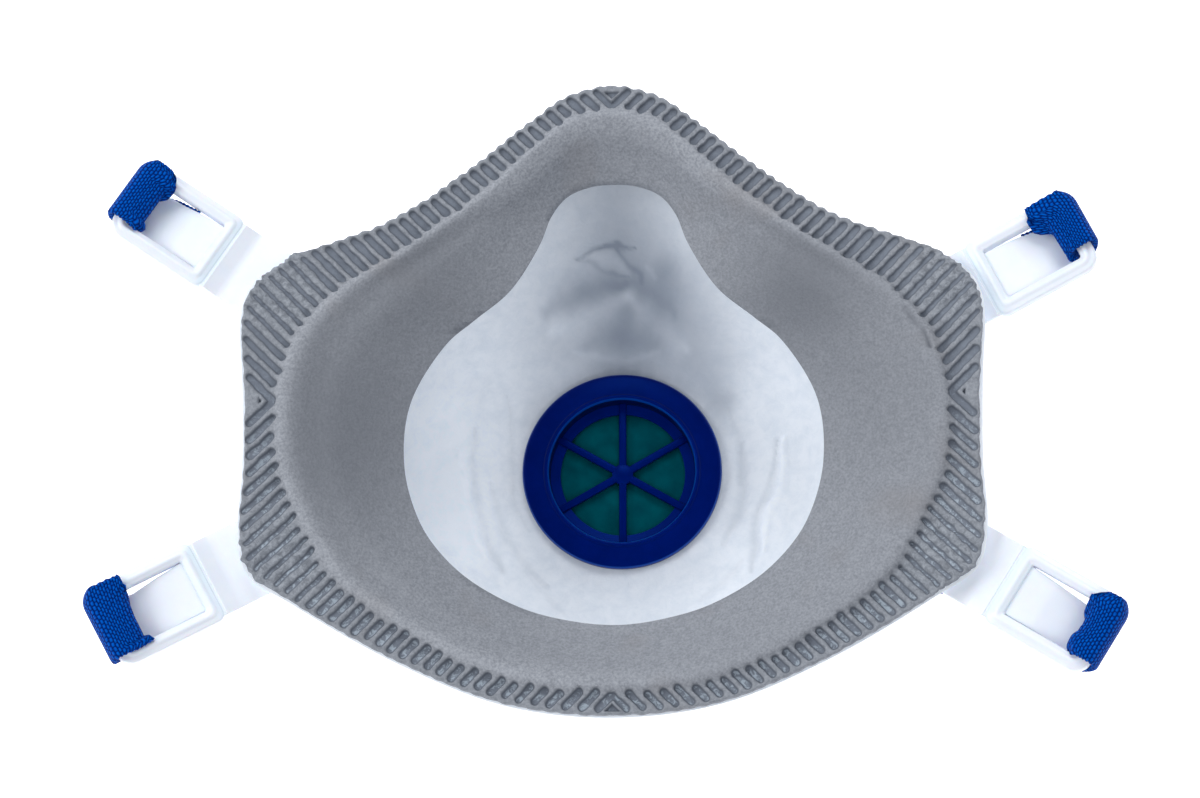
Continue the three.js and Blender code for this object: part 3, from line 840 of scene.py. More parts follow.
@dataclass
class FaceSeal:
    """Grey foam seal: a slotted weld band round the rim, then a soft bowl down to the mouth.

    lumps are crumbs of melted foam on the cut edge, and the shade places are patches of
    painted shade on the bowl, each as x, y, size and radius. crack_line is a hairline crack
    beside the band, with painted shade along it.
    """

    mouth_thickness: float = 0.9
    foam_thickness: float = 2.4
    mouth_centre_z: float = 47.0
    mouth_cheek_rise: float = 2.0
    mouth_half_width: float = 40.0
    fall: tuple[tuple[float, float], ...] = ((0, 0), (0.12, -0.02), (0.45, 0.24), (0.8, 0.74), (1, 1))
    shoulder: float = 1.2
    columns: int = 1560
    band_rows: int = 27
    foam_rows: int = 21
    lumps: tuple[tuple[float, float, float, float], ...] = (
        (-60.6, 32.6, 1.0, 1.6), (62.0, 31.6, 0.5, 1.3), (-69.8, -24.5, 0.5, 0.9), (-69.0, -28.2, 0.6, 0.8),
        (-66.2, -32.0, 0.5, 0.8), (67.4, -31.0, 0.4, 1.0),
    )
    crack_line: tuple[tuple[float, float], ...] = ((55.6, 19.4), (57.0, 17.4), (58.8, 14.6), (60.2, 11.4))
    crack_width: float = 0.36
    crack_depth: float = 0.5
    # Painted shade on the bowl: an even share, and darker patches where the bowl lies in shade.
    foam_base_painted_shade: float = 0.3
    painted_shade_places: tuple[tuple[float, float, float, float], ...] = (
        (-50, 4, 0.42, 20), (-36, 30, 0.32, 13), (36, 26, 0.5, 13), (50, 4, 0.22, 18),
        (-54, -14, 0.2, 14),
    )
    slots: WeldSlots = WeldSlots()
    finish: OpenCellFoam = OpenCellFoam()

    def mouth_height(self, x: np.ndarray) -> np.ndarray:
        """Height of the foam's top face at the mouth."""
        return self.mouth_centre_z + self.mouth_cheek_rise * (x / self.mouth_half_width) ** 2

    def swelling(self, inward: np.ndarray) -> np.ndarray:
        """Height of the soft shoulder, by millimetres inward of the weld line."""
        rise = 0.3 * smooth_step(-3.5, -0.5, inward) + 0.7 * smooth_step(-0.9, 1.2, inward)
        return self.shoulder * rise * (1 - smooth_step(1.6, 9.0, inward))

    def rows(self) -> tuple[np.ndarray, dict[str, np.ndarray]]:
        """Points of the whole skin, round and round, and the values of its material layers."""
        at = OUTLINE.even_places(self.columns)
        rim, weld, mouth = (OUTLINE.line(name, at) for name in ("rim", "weld", "mouth"))
        inward = weld - rim
        width = np.linalg.norm(inward, axis=1)[:, None]
        lobes = self.slots.inside(*(rim + inward / width * 1.5).T)[:, None]
        scallop = 0.16 + 0.26 * smooth_step(12, 30, rim[:, 1:]) * smooth_step(60, 50, np.abs(rim[:, :1]))
        rim = rim - inward / width * (scallop * np.clip(lobes, -0.5, 0.5) + 0.1)
        rim = rim - inward / width * self.crumbs(rim)[:, None]
        weld_z = OUTLINE.rim_height(weld[:, 0])
        mouth_z = self.mouth_height(mouth[:, 0])
        lip = np.array([0.0, 0.06, 0.22, 0.45])[:, None] / width.T
        rest = np.linspace(0, 1, self.band_rows - 3)[1:, None]
        band = np.concatenate([lip, rest * (1 - lip[-1]) + lip[-1]])
        lip_drop = np.concatenate([[0.55, 0.28, 0.1, 0.0], np.zeros(len(rest))])[:, None]
        flat = rim[None] + inward[None] * band[..., None]
        band_z = OUTLINE.rim_height(flat[..., 0]) - lip_drop + self.swelling((band - 1) * width.T)
        reach = np.linspace(0, 1, self.foam_rows + 1)[1:] ** 1.6
        depth = np.linalg.norm(mouth - weld, axis=1)
        bowl = weld[None] + (mouth - weld)[None] * reach[:, None, None]
        bowl_z = weld_z + (mouth_z - weld_z) * eased(self.fall, reach)[:, None]
        bowl_z = bowl_z + self.swelling(reach[:, None] * depth)
        top = np.concatenate([flat, bowl])
        top_z = np.concatenate([band_z, bowl_z])
        x, y = top[..., 0], top[..., 1]
        sunk = self.slots.inside(x, y)
        inward_mm = np.concatenate([(band - 1) * width.T, reach[:, None] * depth])
        corner = self.slots.cornering(x, y) * smooth_step(0.6, -0.8, inward_mm)
        carved = smooth_step(-0.14, 0.2, sunk)
        dig = self.slots.depth * (1 - 0.4 * corner) * (1 + 0.1 * wander(x, y, 7.0, 21))
        top_z = top_z - carved * (dig + 0.45 * self.swelling(inward_mm)) + 0.1 * wander(x, y, 16.0, 23)
        top_z = top_z + corner * (0.13 * wander(x, y, 2.3, 24) + 0.1 * wander(x, y, 1.1, 25))
        crack = self.crack(x, y)
        top_z = top_z - self.crack_depth * crack
        under_share = np.array([0.996, 0.98, 0.9, 0.6, 0.3, 0.06])
        under = weld[None] + (mouth - weld)[None] * under_share[:, None, None]
        fade = smooth_step(0.75, 1.0, under_share)[:, None]
        thick = self.foam_thickness + (self.mouth_thickness - self.foam_thickness) * fade
        under_z = weld_z + (mouth_z - weld_z) * eased(self.fall, under_share)[:, None] - thick
        base = np.concatenate([weld[None], rim[None] + inward[None] * 0.5, rim[None] + inward[None] * 0.02])
        base_z = OUTLINE.rim_height(base[..., 0]) - SEAL_THICKNESS
        plan = np.concatenate([top, under, base])
        height = np.concatenate([top_z, under_z, base_z])
        layers = {name: np.zeros(height.shape) for name in ("slot", "glaze", "singed", "foam_painted_shade")}
        layers["slot"] -= 1
        layers["slot"][:len(sunk)] = sunk
        layers["glaze"][:len(sunk)] = self.glazing(x, y)
        layers["singed"][:len(sunk)] = np.maximum(0.3 * smooth_step(0.3, -0.9, inward_mm), 0.7 * corner)
        # Painted shade: darker patches on the bowl.
        foam_painted_shade = sum(
            amount * np.exp(-((x - cx) ** 2 + (y - cy) ** 2) / radius ** 2)
            for cx, cy, amount, radius in self.painted_shade_places
        ) * smooth_step(0.0, 4.0, inward_mm)
        # Painted highlight: the even painted shade is taken off along the lit shoulder inside the weld, on
        # the left and high up.
        painted_shoulder_highlight = np.exp(-((inward_mm - 2.0) / 2.6) ** 2) * smooth_step(-0.6, 0.6, inward_mm)
        painted_shoulder_highlight = painted_shoulder_highlight * np.maximum(smooth_step(25, -25, x), smooth_step(20, 40, y))
        # Painted shade along the hairline crack as well.
        layers["foam_painted_shade"][:len(sunk)] = np.clip(
            self.foam_base_painted_shade * (1 - painted_shoulder_highlight) + foam_painted_shade + 0.7 * crack, 0, 1,
        )
        return np.dstack([plan, height]), layers

    def crack(self, x: np.ndarray, y: np.ndarray) -> np.ndarray:
        """1 along the hairline crack beside the weld, and 0 elsewhere."""
        knots = np.array(self.crack_line)
        line = open_curve(knots, np.linspace(0, len(knots) - 1, 60))
        away = np.min([np.hypot(x - px, y - py) for px, py in line], axis=0)
        return np.exp(-(away / self.crack_width) ** 2)

    def crumbs(self, rim: np.ndarray) -> np.ndarray:
        """How far the cut edge strays outwards: lumps of melted foam by the buckles."""
        x, y = rim[:, 0], rim[:, 1]
        stray = 0.08 * wander(x, y, 3.0, 5)
        stray = stray + 0.22 * self.slots.cornering(x, y) * wander(x, y, 1.6, 6)
        for cx, cy, size, radius in self.lumps:
            stray = stray + size * np.exp(-((x - cx) ** 2 + (y - cy) ** 2) / radius ** 2)
        return stray

    def glazing(self, x: np.ndarray, y: np.ndarray) -> np.ndarray:
        """How much melted film the slots hold: all of it at the chin, almost none on the nose."""
        low = smooth_step(22, -18, y + 0.12 * np.abs(x))
        return 0.08 + 0.92 * low

    def build(self) -> bpy.types.Object:
        """Make the seal."""
        rows, layers = self.rows()
        piece = finish_mesh("foam_face_seal", draped_grid(rows, True, True, layers), sharp_deg=60)
        piece.data.materials.append(self.finish.build())
        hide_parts("face_seal")
        return piece


# ---------------------------------------------------------------- the cup
class Stroke(NamedTuple):
    """A line in plan along the cup's wall, with the fold and the painted shade that it lays there.

    width is its half width in millimetres, lift how high it stands (a dent if below 0), and
    shade how much painted shade it lays on (painted light if below 0).
    """

    line: tuple[tuple[float, float], ...]
    width: float
    lift: float
    shade: float


STROKES = (
    # Painted shade down the nose channel and round the seat and flanks of the valve, with painted light high
    # in the channel and on the left wall.
    Stroke(((0.6, 68), (0.6, 52), (0.4, 40), (0, 28), (0, 2)), 12.5, 0.0, 0.46),
    Stroke(((0.6, 48), (1.0, 38), (1.0, 28), (1.0, 14)), 11.0, 0.0, 0.15),
    Stroke(((0.6, 56), (0.6, 48)), 7.0, 0.0, -0.12),
    Stroke(((10, 36), (13.5, 30), (17, 23), (19.5, 15)), 8.0, 0.0, 0.34),
    Stroke(((7, 28), (11, 23), (16, 17), (20, 9)), 5.0, 0.0, 0.11),
    Stroke(((-9, 34), (-13.5, 28), (-15, 20), (-17, 12)), 8.0, 0.0, 0.17),
    Stroke(((22, 14), (24.5, 2), (22, -11)), 5.0, 0.0, 0.1),
    Stroke((
        (0, 21), (15, 15), (21, 0), (15, -15), (0, -21), (-15, -15), (-21, 0), (-15, 15), (0, 21),
    ), 4.5, 0.0, 0.1),
    Stroke(((-33, 10), (-35, -4), (-31, -16)), 9.0, 0.0, -0.18),
    Stroke(((-16, -21), (0, -26), (16, -21)), 9.0, 0.0, 0.1),
    Stroke(((-14.5, 29.4), (-9.5, 32.2), (-5.6, 34.0), (1.0, 35.6)), 2.3, -0.12, 0.16),
    Stroke(((3.0, 36.0), (7.4, 33.0), (11.0, 29.6)), 1.9, -0.1, 0.08),
    # A fold like a roof over the valve with painted light on it, and painted shade in the hollow under it.
    Stroke(((1.0, 33.6), (-4.0, 31.4), (-9.2, 28.8), (-13.4, 26.6)), 2.3, 0.03, -0.15),
    Stroke(((2.0, 33.6), (5.9, 29.4), (10.9, 25.0), (13.2, 23.6)), 2.1, 0.03, -0.15),
    Stroke(((1.5, 31.8), (0.4, 28.6), (-0.4, 25.6)), 2.4, -0.03, 0.05),
    Stroke(((-7.0, 25.2), (0.0, 26.6), (7.0, 25.2)), 2.4, -0.03, 0.07),
    Stroke(((-9.4, 24.0), (-0.5, 23.2), (7.7, 23.8)), 0.8, 0.08, -0.06),
    # Thin creases higher up the channel, with painted shade in them and painted light beside them.
    Stroke(((-8.4, 39.0), (-4.8, 41.0), (-1.3, 41.6), (3.8, 41.3)), 0.42, -0.22, 0.22),
    Stroke(((-3.2, 41.4), (-0.6, 41.5), (1.2, 41.0)), 0.7, -0.05, 0.1),
    Stroke(((-0.2, 41.0), (2.0, 38.6), (4.3, 37.3), (4.6, 35.8)), 0.7, -0.12, 0.15),
    Stroke(((-8.2, 39.0), (-5.1, 39.0), (-3.5, 37.8), (-1.3, 37.1), (1.8, 37.1)), 0.45, -0.08, 0.1),
    Stroke(((-4.6, 39.9), (-1.4, 39.3), (2.0, 37.8)), 1.3, 0.06, -0.09),
    Stroke(((5.4, 38.2), (6.6, 37.2), (7.4, 35.8)), 0.5, 0.08, -0.07),
    # Soft folds that run round the valve, with painted shade in their dents and painted light on their
    # ridges.
    Stroke(((-22.9, 15.4), (-22.1, 7.2), (-21.5, -5.8), (-18.7, -12.0)), 0.6, -0.2, 0.07),
    Stroke(((-29.4, 9.0), (-30.0, 0.5), (-28.4, -9.9), (-25.6, -17.7), (-23.3, -21.1)), 1.2, -0.6, 0.13),
    Stroke(((-32.4, 3.5), (-31.8, -2.5), (-29.6, -11.5), (-27.0, -18.2)), 1.4, 0.5, -0.06),
    Stroke(((-26.3, -2.3), (-24.1, -11.9), (-20.2, -18.6), (-15.0, -24.0)), 1.1, -0.5, 0.09),
    Stroke(((31.3, 5.4), (29.6, -4.9), (27.3, -9.2), (26.7, -16.1), (25.7, -21.5)), 1.0, -0.75, 0.13),
    Stroke(((32.6, 5.4), (31.1, -5.2), (28.8, -9.8), (28.3, -17.5)), 1.2, 0.6, -0.08),
    Stroke(((24.2, 5.6), (24.6, -3.0), (24.1, -7.7), (20.2, -15.3)), 1.1, -0.5, 0.09),
    Stroke(((21.5, 12.5), (23.6, 4.8), (23.6, -2.8)), 0.6, -0.25, 0.06),
    Stroke(((-18.0, -22.6), (-14.6, -26.5), (-11.3, -30.2)), 0.7, -0.3, 0.05),
    Stroke(((24.0, -19.0), (20.6, -23.4), (15.4, -27.0)), 0.8, -0.3, 0.06),
)


@dataclass
class CupShell:
    """White moulded cup: a flange under the seal, a steep wall, and a floor round the valve."""

    overhang: float = 0.4
    corner_overhang: float = 0.35
    front_z: float = 11.4
    hole_radius: float = 16.8
    cheek: tuple[tuple[float, float], ...] = (
        (0, 1), (0.1, 0.72), (0.32, 0.36), (0.56, 0.13), (0.8, 0.025), (0.9, 0), (1, 0),
    )
    nose: tuple[tuple[float, float], ...] = (
        (0, 1), (0.1, 0.85), (0.32, 0.62), (0.56, 0.34), (0.8, 0.07), (0.9, 0), (1, 0),
    )
    nose_full: float = 0.35
    nose_none: float = 1.15
    # Painted shade laid evenly over the whole wall, before the strokes add theirs.
    base_painted_shade: float = 0.18
    columns: int = 560
    wall_rows: int = 118
    finish: MouldedFelt = MouldedFelt()

    def rows(self) -> tuple[np.ndarray, np.ndarray]:
        """Points of the inner face and then the outer, and how much painted shade the felt carries at each.
        """
        at = OUTLINE.even_places(self.columns)
        rim, weld = OUTLINE.line("rim", at), OUTLINE.line("weld", at)
        outward = (rim - weld) / np.linalg.norm(rim - weld, axis=1)[:, None]
        edge = rim + outward * (
            self.overhang + self.corner_overhang * smooth_step(58, 67, np.abs(rim[:, :1]))
        )
        from_nose = np.abs(np.arctan2(weld[:, 0], weld[:, 1]))
        nose_share = 1 - smooth_step(self.nose_full, self.nose_none, from_nose)
        hole = weld / np.linalg.norm(weld, axis=1)[:, None] * self.hole_radius
        flange_share = np.linspace(0, 1, 10)[:-1, None, None]
        flange = edge[None] + (weld - edge)[None] * flange_share
        drop = SEAL_THICKNESS + GAP
        flange_z = OUTLINE.rim_height(flange[..., 0]) - drop
        reach = np.linspace(0, 1, self.wall_rows)
        wall = weld[None] + (hole - weld)[None] * reach[:, None, None]
        weld_z = OUTLINE.rim_height(weld[:, 0]) - drop
        share = (
            eased(self.cheek, reach)[:, None] * (1 - nose_share)[None]
            + eased(self.nose, reach)[:, None] * nose_share[None]
        )
        lift, shade = self.folds(wall[..., 0], wall[..., 1], reach[:, None])
        wall_z = self.front_z + (weld_z - self.front_z)[None] * share + lift
        inside = np.dstack([np.concatenate([flange, wall]), np.concatenate([flange_z, wall_z])])
        along = np.roll(inside, -1, axis=1) - np.roll(inside, 1, axis=1)
        square = np.cross(np.gradient(inside, axis=0), along)
        square /= np.linalg.norm(square, axis=2)[..., None]
        square *= np.sign(square[..., 2:])
        outside = (inside - square * CUP_THICKNESS)[::-1][::4]
        packed_and_painted_shade = np.zeros((len(inside) + len(outside), self.columns))
        packed_and_painted_shade[len(flange):len(inside)] = shade
        return np.concatenate([inside, outside]), packed_and_painted_shade

    def folds(self, x: np.ndarray, y: np.ndarray, reach: np.ndarray) -> tuple[np.ndarray, np.ndarray]:
        """Unevenness of the wall in millimetres, and how much painted shade it carries.

        Args:
            x: Places across the cup.
            y: Places up the cup.
            reach: Share of the way from the flange to the valve's hole.

        Returns:
            The lift and the shade at each place.
        """
        free = smooth_step(0.03, 0.2, reach) * smooth_step(0.99, 0.88, reach)
        lift = 0.16 * wander(x, y, 14.0, 31) + 0.07 * wander(x, y, 5.0, 32)
        shade = np.full(x.shape, self.base_painted_shade)
        ragged_x = x + 0.25 * wander(x, y, 6.0, 33) + 0.1 * wander(x, y, 1.9, 34)
        ragged_y = y + 0.25 * wander(x, y, 6.0, 35) + 0.1 * wander(x, y, 1.9, 36)
        for stroke in STROKES:
            knots = np.array(stroke.line, float)
            path = open_curve(knots, np.linspace(0, len(knots) - 1, 48))
            nearest = np.full(x.shape, np.inf)
            for step, point in enumerate(path):
                thinning = 1 + 2.2 * max(abs(step / 23.5 - 1) - 0.55, 0)
                nearest = np.minimum(nearest, np.hypot(ragged_x - point[0], ragged_y - point[1]) * thinning)
            near = np.exp(-(nearest / stroke.width) ** 2)
            lift = lift + stroke.lift * near
            shade = shade + stroke.shade * near
        return lift * free, np.clip(shade, 0, 0.95)

    def build(self) -> bpy.types.Object:
        """Make the cup."""
        rows, shade = self.rows()
        piece = finish_mesh("moulded_cup_shell", draped_grid(rows, True, True, {"shade": shade}))
        piece.data.materials.append(self.finish.build())
        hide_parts("cup_shell")
        return piece


# ---------------------------------------------------------------- the valve
@dataclass
class ExhalationValve:
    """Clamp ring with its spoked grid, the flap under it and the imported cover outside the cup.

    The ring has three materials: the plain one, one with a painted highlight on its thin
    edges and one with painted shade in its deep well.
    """

    flange_radius: float = 20.0
    flange_top: float = 13.5
    edge_drop: float = 0.9
    lip_radius: float = 14.65
    lip_top: float = 12.9
    ledge_z: float = 9.5
    barrel_radius: float = 16.5
    barrel_bottom: float = 4.6
    grid_radius: float = 12.5
    grid_top: float = 10.0
    grid_bottom: float = 8.5
    spoke_bars: int = 3
    spoke_width: float = 1.5
    hub_radius: float = 2.1
    pin_radius: float = 1.0
    pin_bottom: float = 6.8
    flap_radius: float = 14.3
    flap_thickness: float = 0.8
    clamp_z: float = 11.7
    ring_plain_highlight_and_shade: tuple[MouldedPlastic, ...] = (
        MouldedPlastic("deep_blue_polypropylene", "#001058", "#00156a", 0.32, gloss="#0058e0"),
        MouldedPlastic("deep_blue_polypropylene_painted_highlight", "#003a96", "#003a96", 0.32, gloss="#4aa0ff"),
        MouldedPlastic("deep_blue_polypropylene_painted_shade", "#000a3c", "#000a3c", 0.32, gloss="#0040a0"),
    )

    def finish_at(self, radius: float, height: float) -> int:
        """Which ring material a place has: 1 painted highlight on its thin edges, 2 painted shade in its
        well.
        """
        # Painted highlight on the lip and the outer bevel, painted shade on the wall of the well.
        lip = self.lip_radius - 0.2 < radius < self.lip_radius + 0.25 and height > self.lip_top - 0.2
        bevel = radius > self.flange_radius - 0.32 and height > self.flange_top - self.edge_drop
        in_wall = self.lip_radius - 0.25 < radius < self.lip_radius + 0.1
        return 1 if lip or bevel else 2 if in_wall and self.ledge_z < height < self.lip_top else 0

    def seat(self) -> bpy.types.Object:
        """Make the ring, its hub and its spokes."""
        mesh = turned((
            (self.flange_radius, self.clamp_z), (self.flange_radius, self.flange_top - self.edge_drop),
            (self.flange_radius - 0.25, self.flange_top - 0.35),
            (self.flange_radius - self.edge_drop, self.flange_top),
            (self.lip_radius + 1.2, self.flange_top - 0.25), (self.lip_radius + 0.85, self.flange_top + 0.12),
            (self.lip_radius + 0.35, self.flange_top + 0.12), (self.lip_radius, self.lip_top),
            (self.lip_radius, self.ledge_z), (self.grid_radius, self.ledge_z),
            (self.grid_radius, self.grid_bottom), (self.lip_radius, self.grid_bottom),
            (self.lip_radius, self.barrel_bottom), (self.barrel_radius, self.barrel_bottom),
            (self.barrel_radius, self.clamp_z),
        ), closed=True)
        round_edges(mesh, 0.14, segments=2)
        hub = turned((
            (0, self.pin_bottom), (self.pin_radius, self.pin_bottom), (self.pin_radius, self.grid_bottom),
            (self.hub_radius, self.grid_bottom), (self.hub_radius, self.grid_top - 0.15),
            (self.hub_radius - 0.3, self.grid_top + 0.05), (0, self.grid_top + 0.05),
        ), closed=False, steps=48)
        merge_into(mesh, hub)
        reach = self.lip_radius + 0.3
        for bar in range(self.spoke_bars):
            spoke = block(
                (-reach, -self.spoke_width / 2, self.grid_bottom),
                (reach, self.spoke_width / 2, self.grid_top),
            )
            round_edges(spoke, 0.28, segments=3)
            turn = Matrix.Rotation(math.radians(90 + 180 * bar / self.spoke_bars), 4, "Z")
            bmesh.ops.transform(spoke, matrix=turn, verts=spoke.verts)
            merge_into(mesh, spoke)
        piece = finish_mesh("valve_clamp_ring", mesh, sharp_deg=40)
        for finish in self.ring_plain_highlight_and_shade:
            piece.data.materials.append(finish.build())
        for face in piece.data.polygons:
            face.material_index = self.finish_at(
                math.hypot(face.center.x, face.center.y) / MM, face.center.z / MM,
            )
        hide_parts("valve_seat")
        return piece

    def flap(self) -> bpy.types.Object:
        """Make the thin flap, with its hole for the pin."""
        top = self.grid_bottom - GAP
        bottom = top - self.flap_thickness
        bore = self.pin_radius + GAP
        mesh = turned((
            (bore, bottom), (self.flap_radius, bottom), (self.flap_radius, top), (bore, top),
        ), closed=True)
        round_edges(mesh, 0.15, segments=2)
        piece = finish_mesh("valve_flap", mesh)
        piece.data.materials.append(SiliconeFlap().build())
        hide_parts("valve_membrane")
        return piece

    def cover(self) -> None:
        """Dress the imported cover, whose plain shape and side vents are right as they are."""
        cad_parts["valve_cover"].material_slots[0].material = MouldedPlastic(
            name="white_polypropylene", colour="#eef0f2", worn="#e4e7ea", roughness=0.42,
        ).build()

    def build(self) -> list[bpy.types.Object]:
        """Make every piece of the valve."""
        self.cover()
        return [self.seat(), self.flap()]


# ---------------------------------------------------------------- buckles
class BuckleCorner(Enum):
    """Which corner a buckle is on: end-bar centre, direction in degrees, and length over all.

    The last pair is the slit between the tongue and the upper rail, at its root and its tip.
    """

    UPPER_LEFT = ((-92.2, 44.1), 147.0, 36.0, (0.45, 0.6))
    UPPER_RIGHT = ((89.2, 34.6), 26.3, 33.0, (0.45, 0.6))
    LOWER_LEFT = ((-94.1, -41.3), -151.0, 36.0, (0.1, 1.3))
    LOWER_RIGHT = ((90.6, -44.7), -33.5, 36.0, (0.2, 1.2))

    @property
    def node(self) -> str:
        """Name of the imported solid."""
        return f"buckle_{self.name.lower()}"

    @property
    def upward(self) -> int:
        """1 where the buckle's own +y side is its upper side, and -1 where it is the lower."""
        return 1 if self.place.col[1].y > 0 else -1

    @property
    def place(self) -> Matrix:
        """Where the buckle's own frame lies, in millimetres."""
        end, angle, *_ = self.value
        side = math.copysign(1, end[0])
        slope = 2 * OUTLINE.cheek_rise / OUTLINE.half_width
        up = Vector((-side * slope, 0, 1)).normalized()
        plan = Vector((math.cos(math.radians(angle)), math.sin(math.radians(angle)), 0))
        outward = Vector((plan.x, plan.y, abs(plan.x) * slope)).normalized()
        across = up.cross(outward)
        under_flange = SEAL_THICKNESS + CUP_THICKNESS + 2 * GAP + 0.2
        height = float(OUTLINE.rim_height(OUTLINE.half_width)) - under_flange
        height += slope * (abs(end[0]) - OUTLINE.half_width)
        turn = Matrix((outward, across, up)).transposed().to_4x4()
        return Matrix.Translation((end[0], end[1], height)) @ turn


def rounded_rectangle(
    x0: float, x1: float, half: float, inner: float, outer: float, straight: int = 10, arc: int = 8,
) -> np.ndarray:
    """Points round a rounded rectangle in plan, always the same number of them.

    Args:
        x0: Its near end.
        x1: Its far end.
        half: Half its width.
        inner: Corner radius at the near end.
        outer: Corner radius at the far end.
        straight: Points on each side.
        arc: Points on each corner.

    Returns:
        Rows of x and y.
    """
    corners = (
        (x1 - outer, -half + outer, outer, -90), (x1 - outer, half - outer, outer, 0),
        (x0 + inner, half - inner, inner, 90), (x0 + inner, -half + inner, inner, 180),
    )
    points = []
    for index, (cx, cy, radius, start) in enumerate(corners):
        turn = np.radians(start + np.linspace(0, 90, arc))
        here = np.column_stack([cx + radius * np.cos(turn), cy + radius * np.sin(turn)])
        nx, ny, next_radius, next_start = corners[(index + 1) % 4]
        go = math.radians(next_start)
        there = np.array((nx + next_radius * math.cos(go), ny + next_radius * math.sin(go)))
        share = np.linspace(0, 1, straight + 2)[1:-1, None]
        points += [here, here[-1] + (there - here[-1]) * share]
    return np.vstack(points)


@dataclass
class StrapBuckle:
    """Moulded buckle: a ridged frame round a window, a springy tongue in it, and a welded tab."""

    corner: BuckleCorner
    frame_length: float = 21.4
    frame_width: float = 16.4
    frame_thickness: float = 2.4
    outer_radius: float = 3.2
    inner_radius: float = 1.6
    rail: float = 2.9
    ridge: float = 0.5
    tab_width: float = 15.2
    tab_top: float = -0.2
    tab_thickness: float = 1.2
    tab_overlap: float = 1.0
    tongue_gap: float = 0.12
    tongue_thickness: float = 1.0
    tongue_length: float = 13.9
    tongue_fall: tuple[tuple[float, float], ...] = ((-0.1, -0.4), (0.4, -1.3), (1, -4.3))

    def frame(self) -> bmesh.types.BMesh:
        """Make the frame: its section runs from the window over the ridge to the outside."""
        window = self.rail
        section = (
            (window, -self.frame_thickness), (window, -0.4), (window - 0.1, -0.12), (window - 0.35, 0.0),
            (window - 0.6, 0.12), (window - 0.85, 0.36), (window - 1.2, self.ridge),
            (window - 1.55, 0.36), (window - 1.8, 0.1), (window - 2.0, -0.02), (0.4, -0.06), (0.12, -0.18),
            (0.0, -0.45), (0.0, -self.frame_thickness + 0.25), (0.2, -self.frame_thickness),
        )
        rows = []
        for inset, height in section:
            share = inset / window
            line = rounded_rectangle(
                inset - self.frame_length, -inset, self.frame_width / 2 - inset,
                self.inner_radius * (1 - share) + 0.5 * share, self.outer_radius * (1 - share) + 0.6 * share,
            )
            rows.append(np.column_stack([line, np.full(len(line), height)]))
        return draped_grid(np.array(rows), True, True)

    def tab(self) -> bmesh.types.BMesh:
        """Make the tab, with the faint steps that cross it."""
        length = self.corner.value[2]
        end = self.tab_overlap - self.frame_length
        steps = (
            (end, 0.0), (end - 1.3, 0.0), (end - 1.4, 0.16), (end - 1.65, 0.16), (end - 1.75, 0.06),
            (end - 3.9, 0.06), (end - 4.0, -0.02), (end - 6.2, -0.02), (end - 6.3, 0.07), (-length, 0.07),
        )
        sections = []
        for x, lift in steps:
            line = rounded_rectangle(
                self.tab_top - self.tab_thickness, self.tab_top + lift, self.tab_width / 2, 0.25, 0.25, 6, 4,
            )
            sections.append(np.column_stack([np.full(len(line), x), line[:, 1], line[:, 0]]))
        return swept(np.array(sections))

    def tongue(self) -> bmesh.types.BMesh:
        """Make the tongue, bent down towards the end bar, with its slit along the upper rail."""
        root = self.rail - self.frame_length
        reach = np.linspace(-0.1, 1, 28)
        fall = eased(self.tongue_fall, reach)
        window = self.frame_width / 2 - self.rail
        at_root, at_tip = self.corner.value[3]
        sections = []
        for share, height in zip(reach, fall):
            upper = window - at_root - (at_tip - at_root) * max(share, 0)
            lower = -window + self.tongue_gap
            half = (upper - lower) / 2
            line = rounded_rectangle(height - self.tongue_thickness, height, half, 0.25, 0.25, 12, 4)
            sag = 0.12 * math.sin(math.pi * min(max(share, 0), 1)) * (1 - (line[:, 1] / half) ** 2)
            y = (line[:, 1] + (upper + lower) / 2) * self.corner.upward
            x = np.full(len(line), root + share * self.tongue_length)
            sections.append(np.column_stack([x, y, line[:, 0] - sag]))
        return swept(np.array(sections))

    def build(self, material: bpy.types.Material) -> bpy.types.Object:
        """Make the buckle.

        Args:
            material: The plastic that all four share.

        Returns:
            The buckle in its place.
        """
        mesh = self.frame()
        merge_into(mesh, self.tab())
        merge_into(mesh, self.tongue())
        bmesh.ops.transform(mesh, matrix=self.corner.place, verts=mesh.verts)
        piece = finish_mesh(f"strap_{self.corner.node}", mesh, sharp_deg=50)
        piece.data.materials.append(material)
        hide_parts(self.corner.node)
        return piece


def swept(sections: np.ndarray) -> bmesh.types.BMesh:
    """Skin through closed sections, with both ends closed."""
    mesh = draped_grid(sections, True, False)
    border = [edge for edge in mesh.edges if edge.is_boundary]
    bmesh.ops.holes_fill(mesh, edges=border, sides=0)
    return mesh


# ---------------------------------------------------------------- head bands
class BandWrap(NamedTuple):
    """How a band lies on an end bar, in the buckle's own frame and in millimetres.

    upper and lower are its edges along the bar, measured from the bar's upper end. reach says
    how far in from the bar's outer face its fold comes, by place along the bar. tail is how far
    its cut end reaches under the tongue, and tail_top how high that end's upper edge lies. lift
    is how far up the band leaves below the bar.
    """

    upper: float
    lower: float
    reach: tuple[tuple[float, float], ...]
    tail: float
    tail_top: float
    lift: float


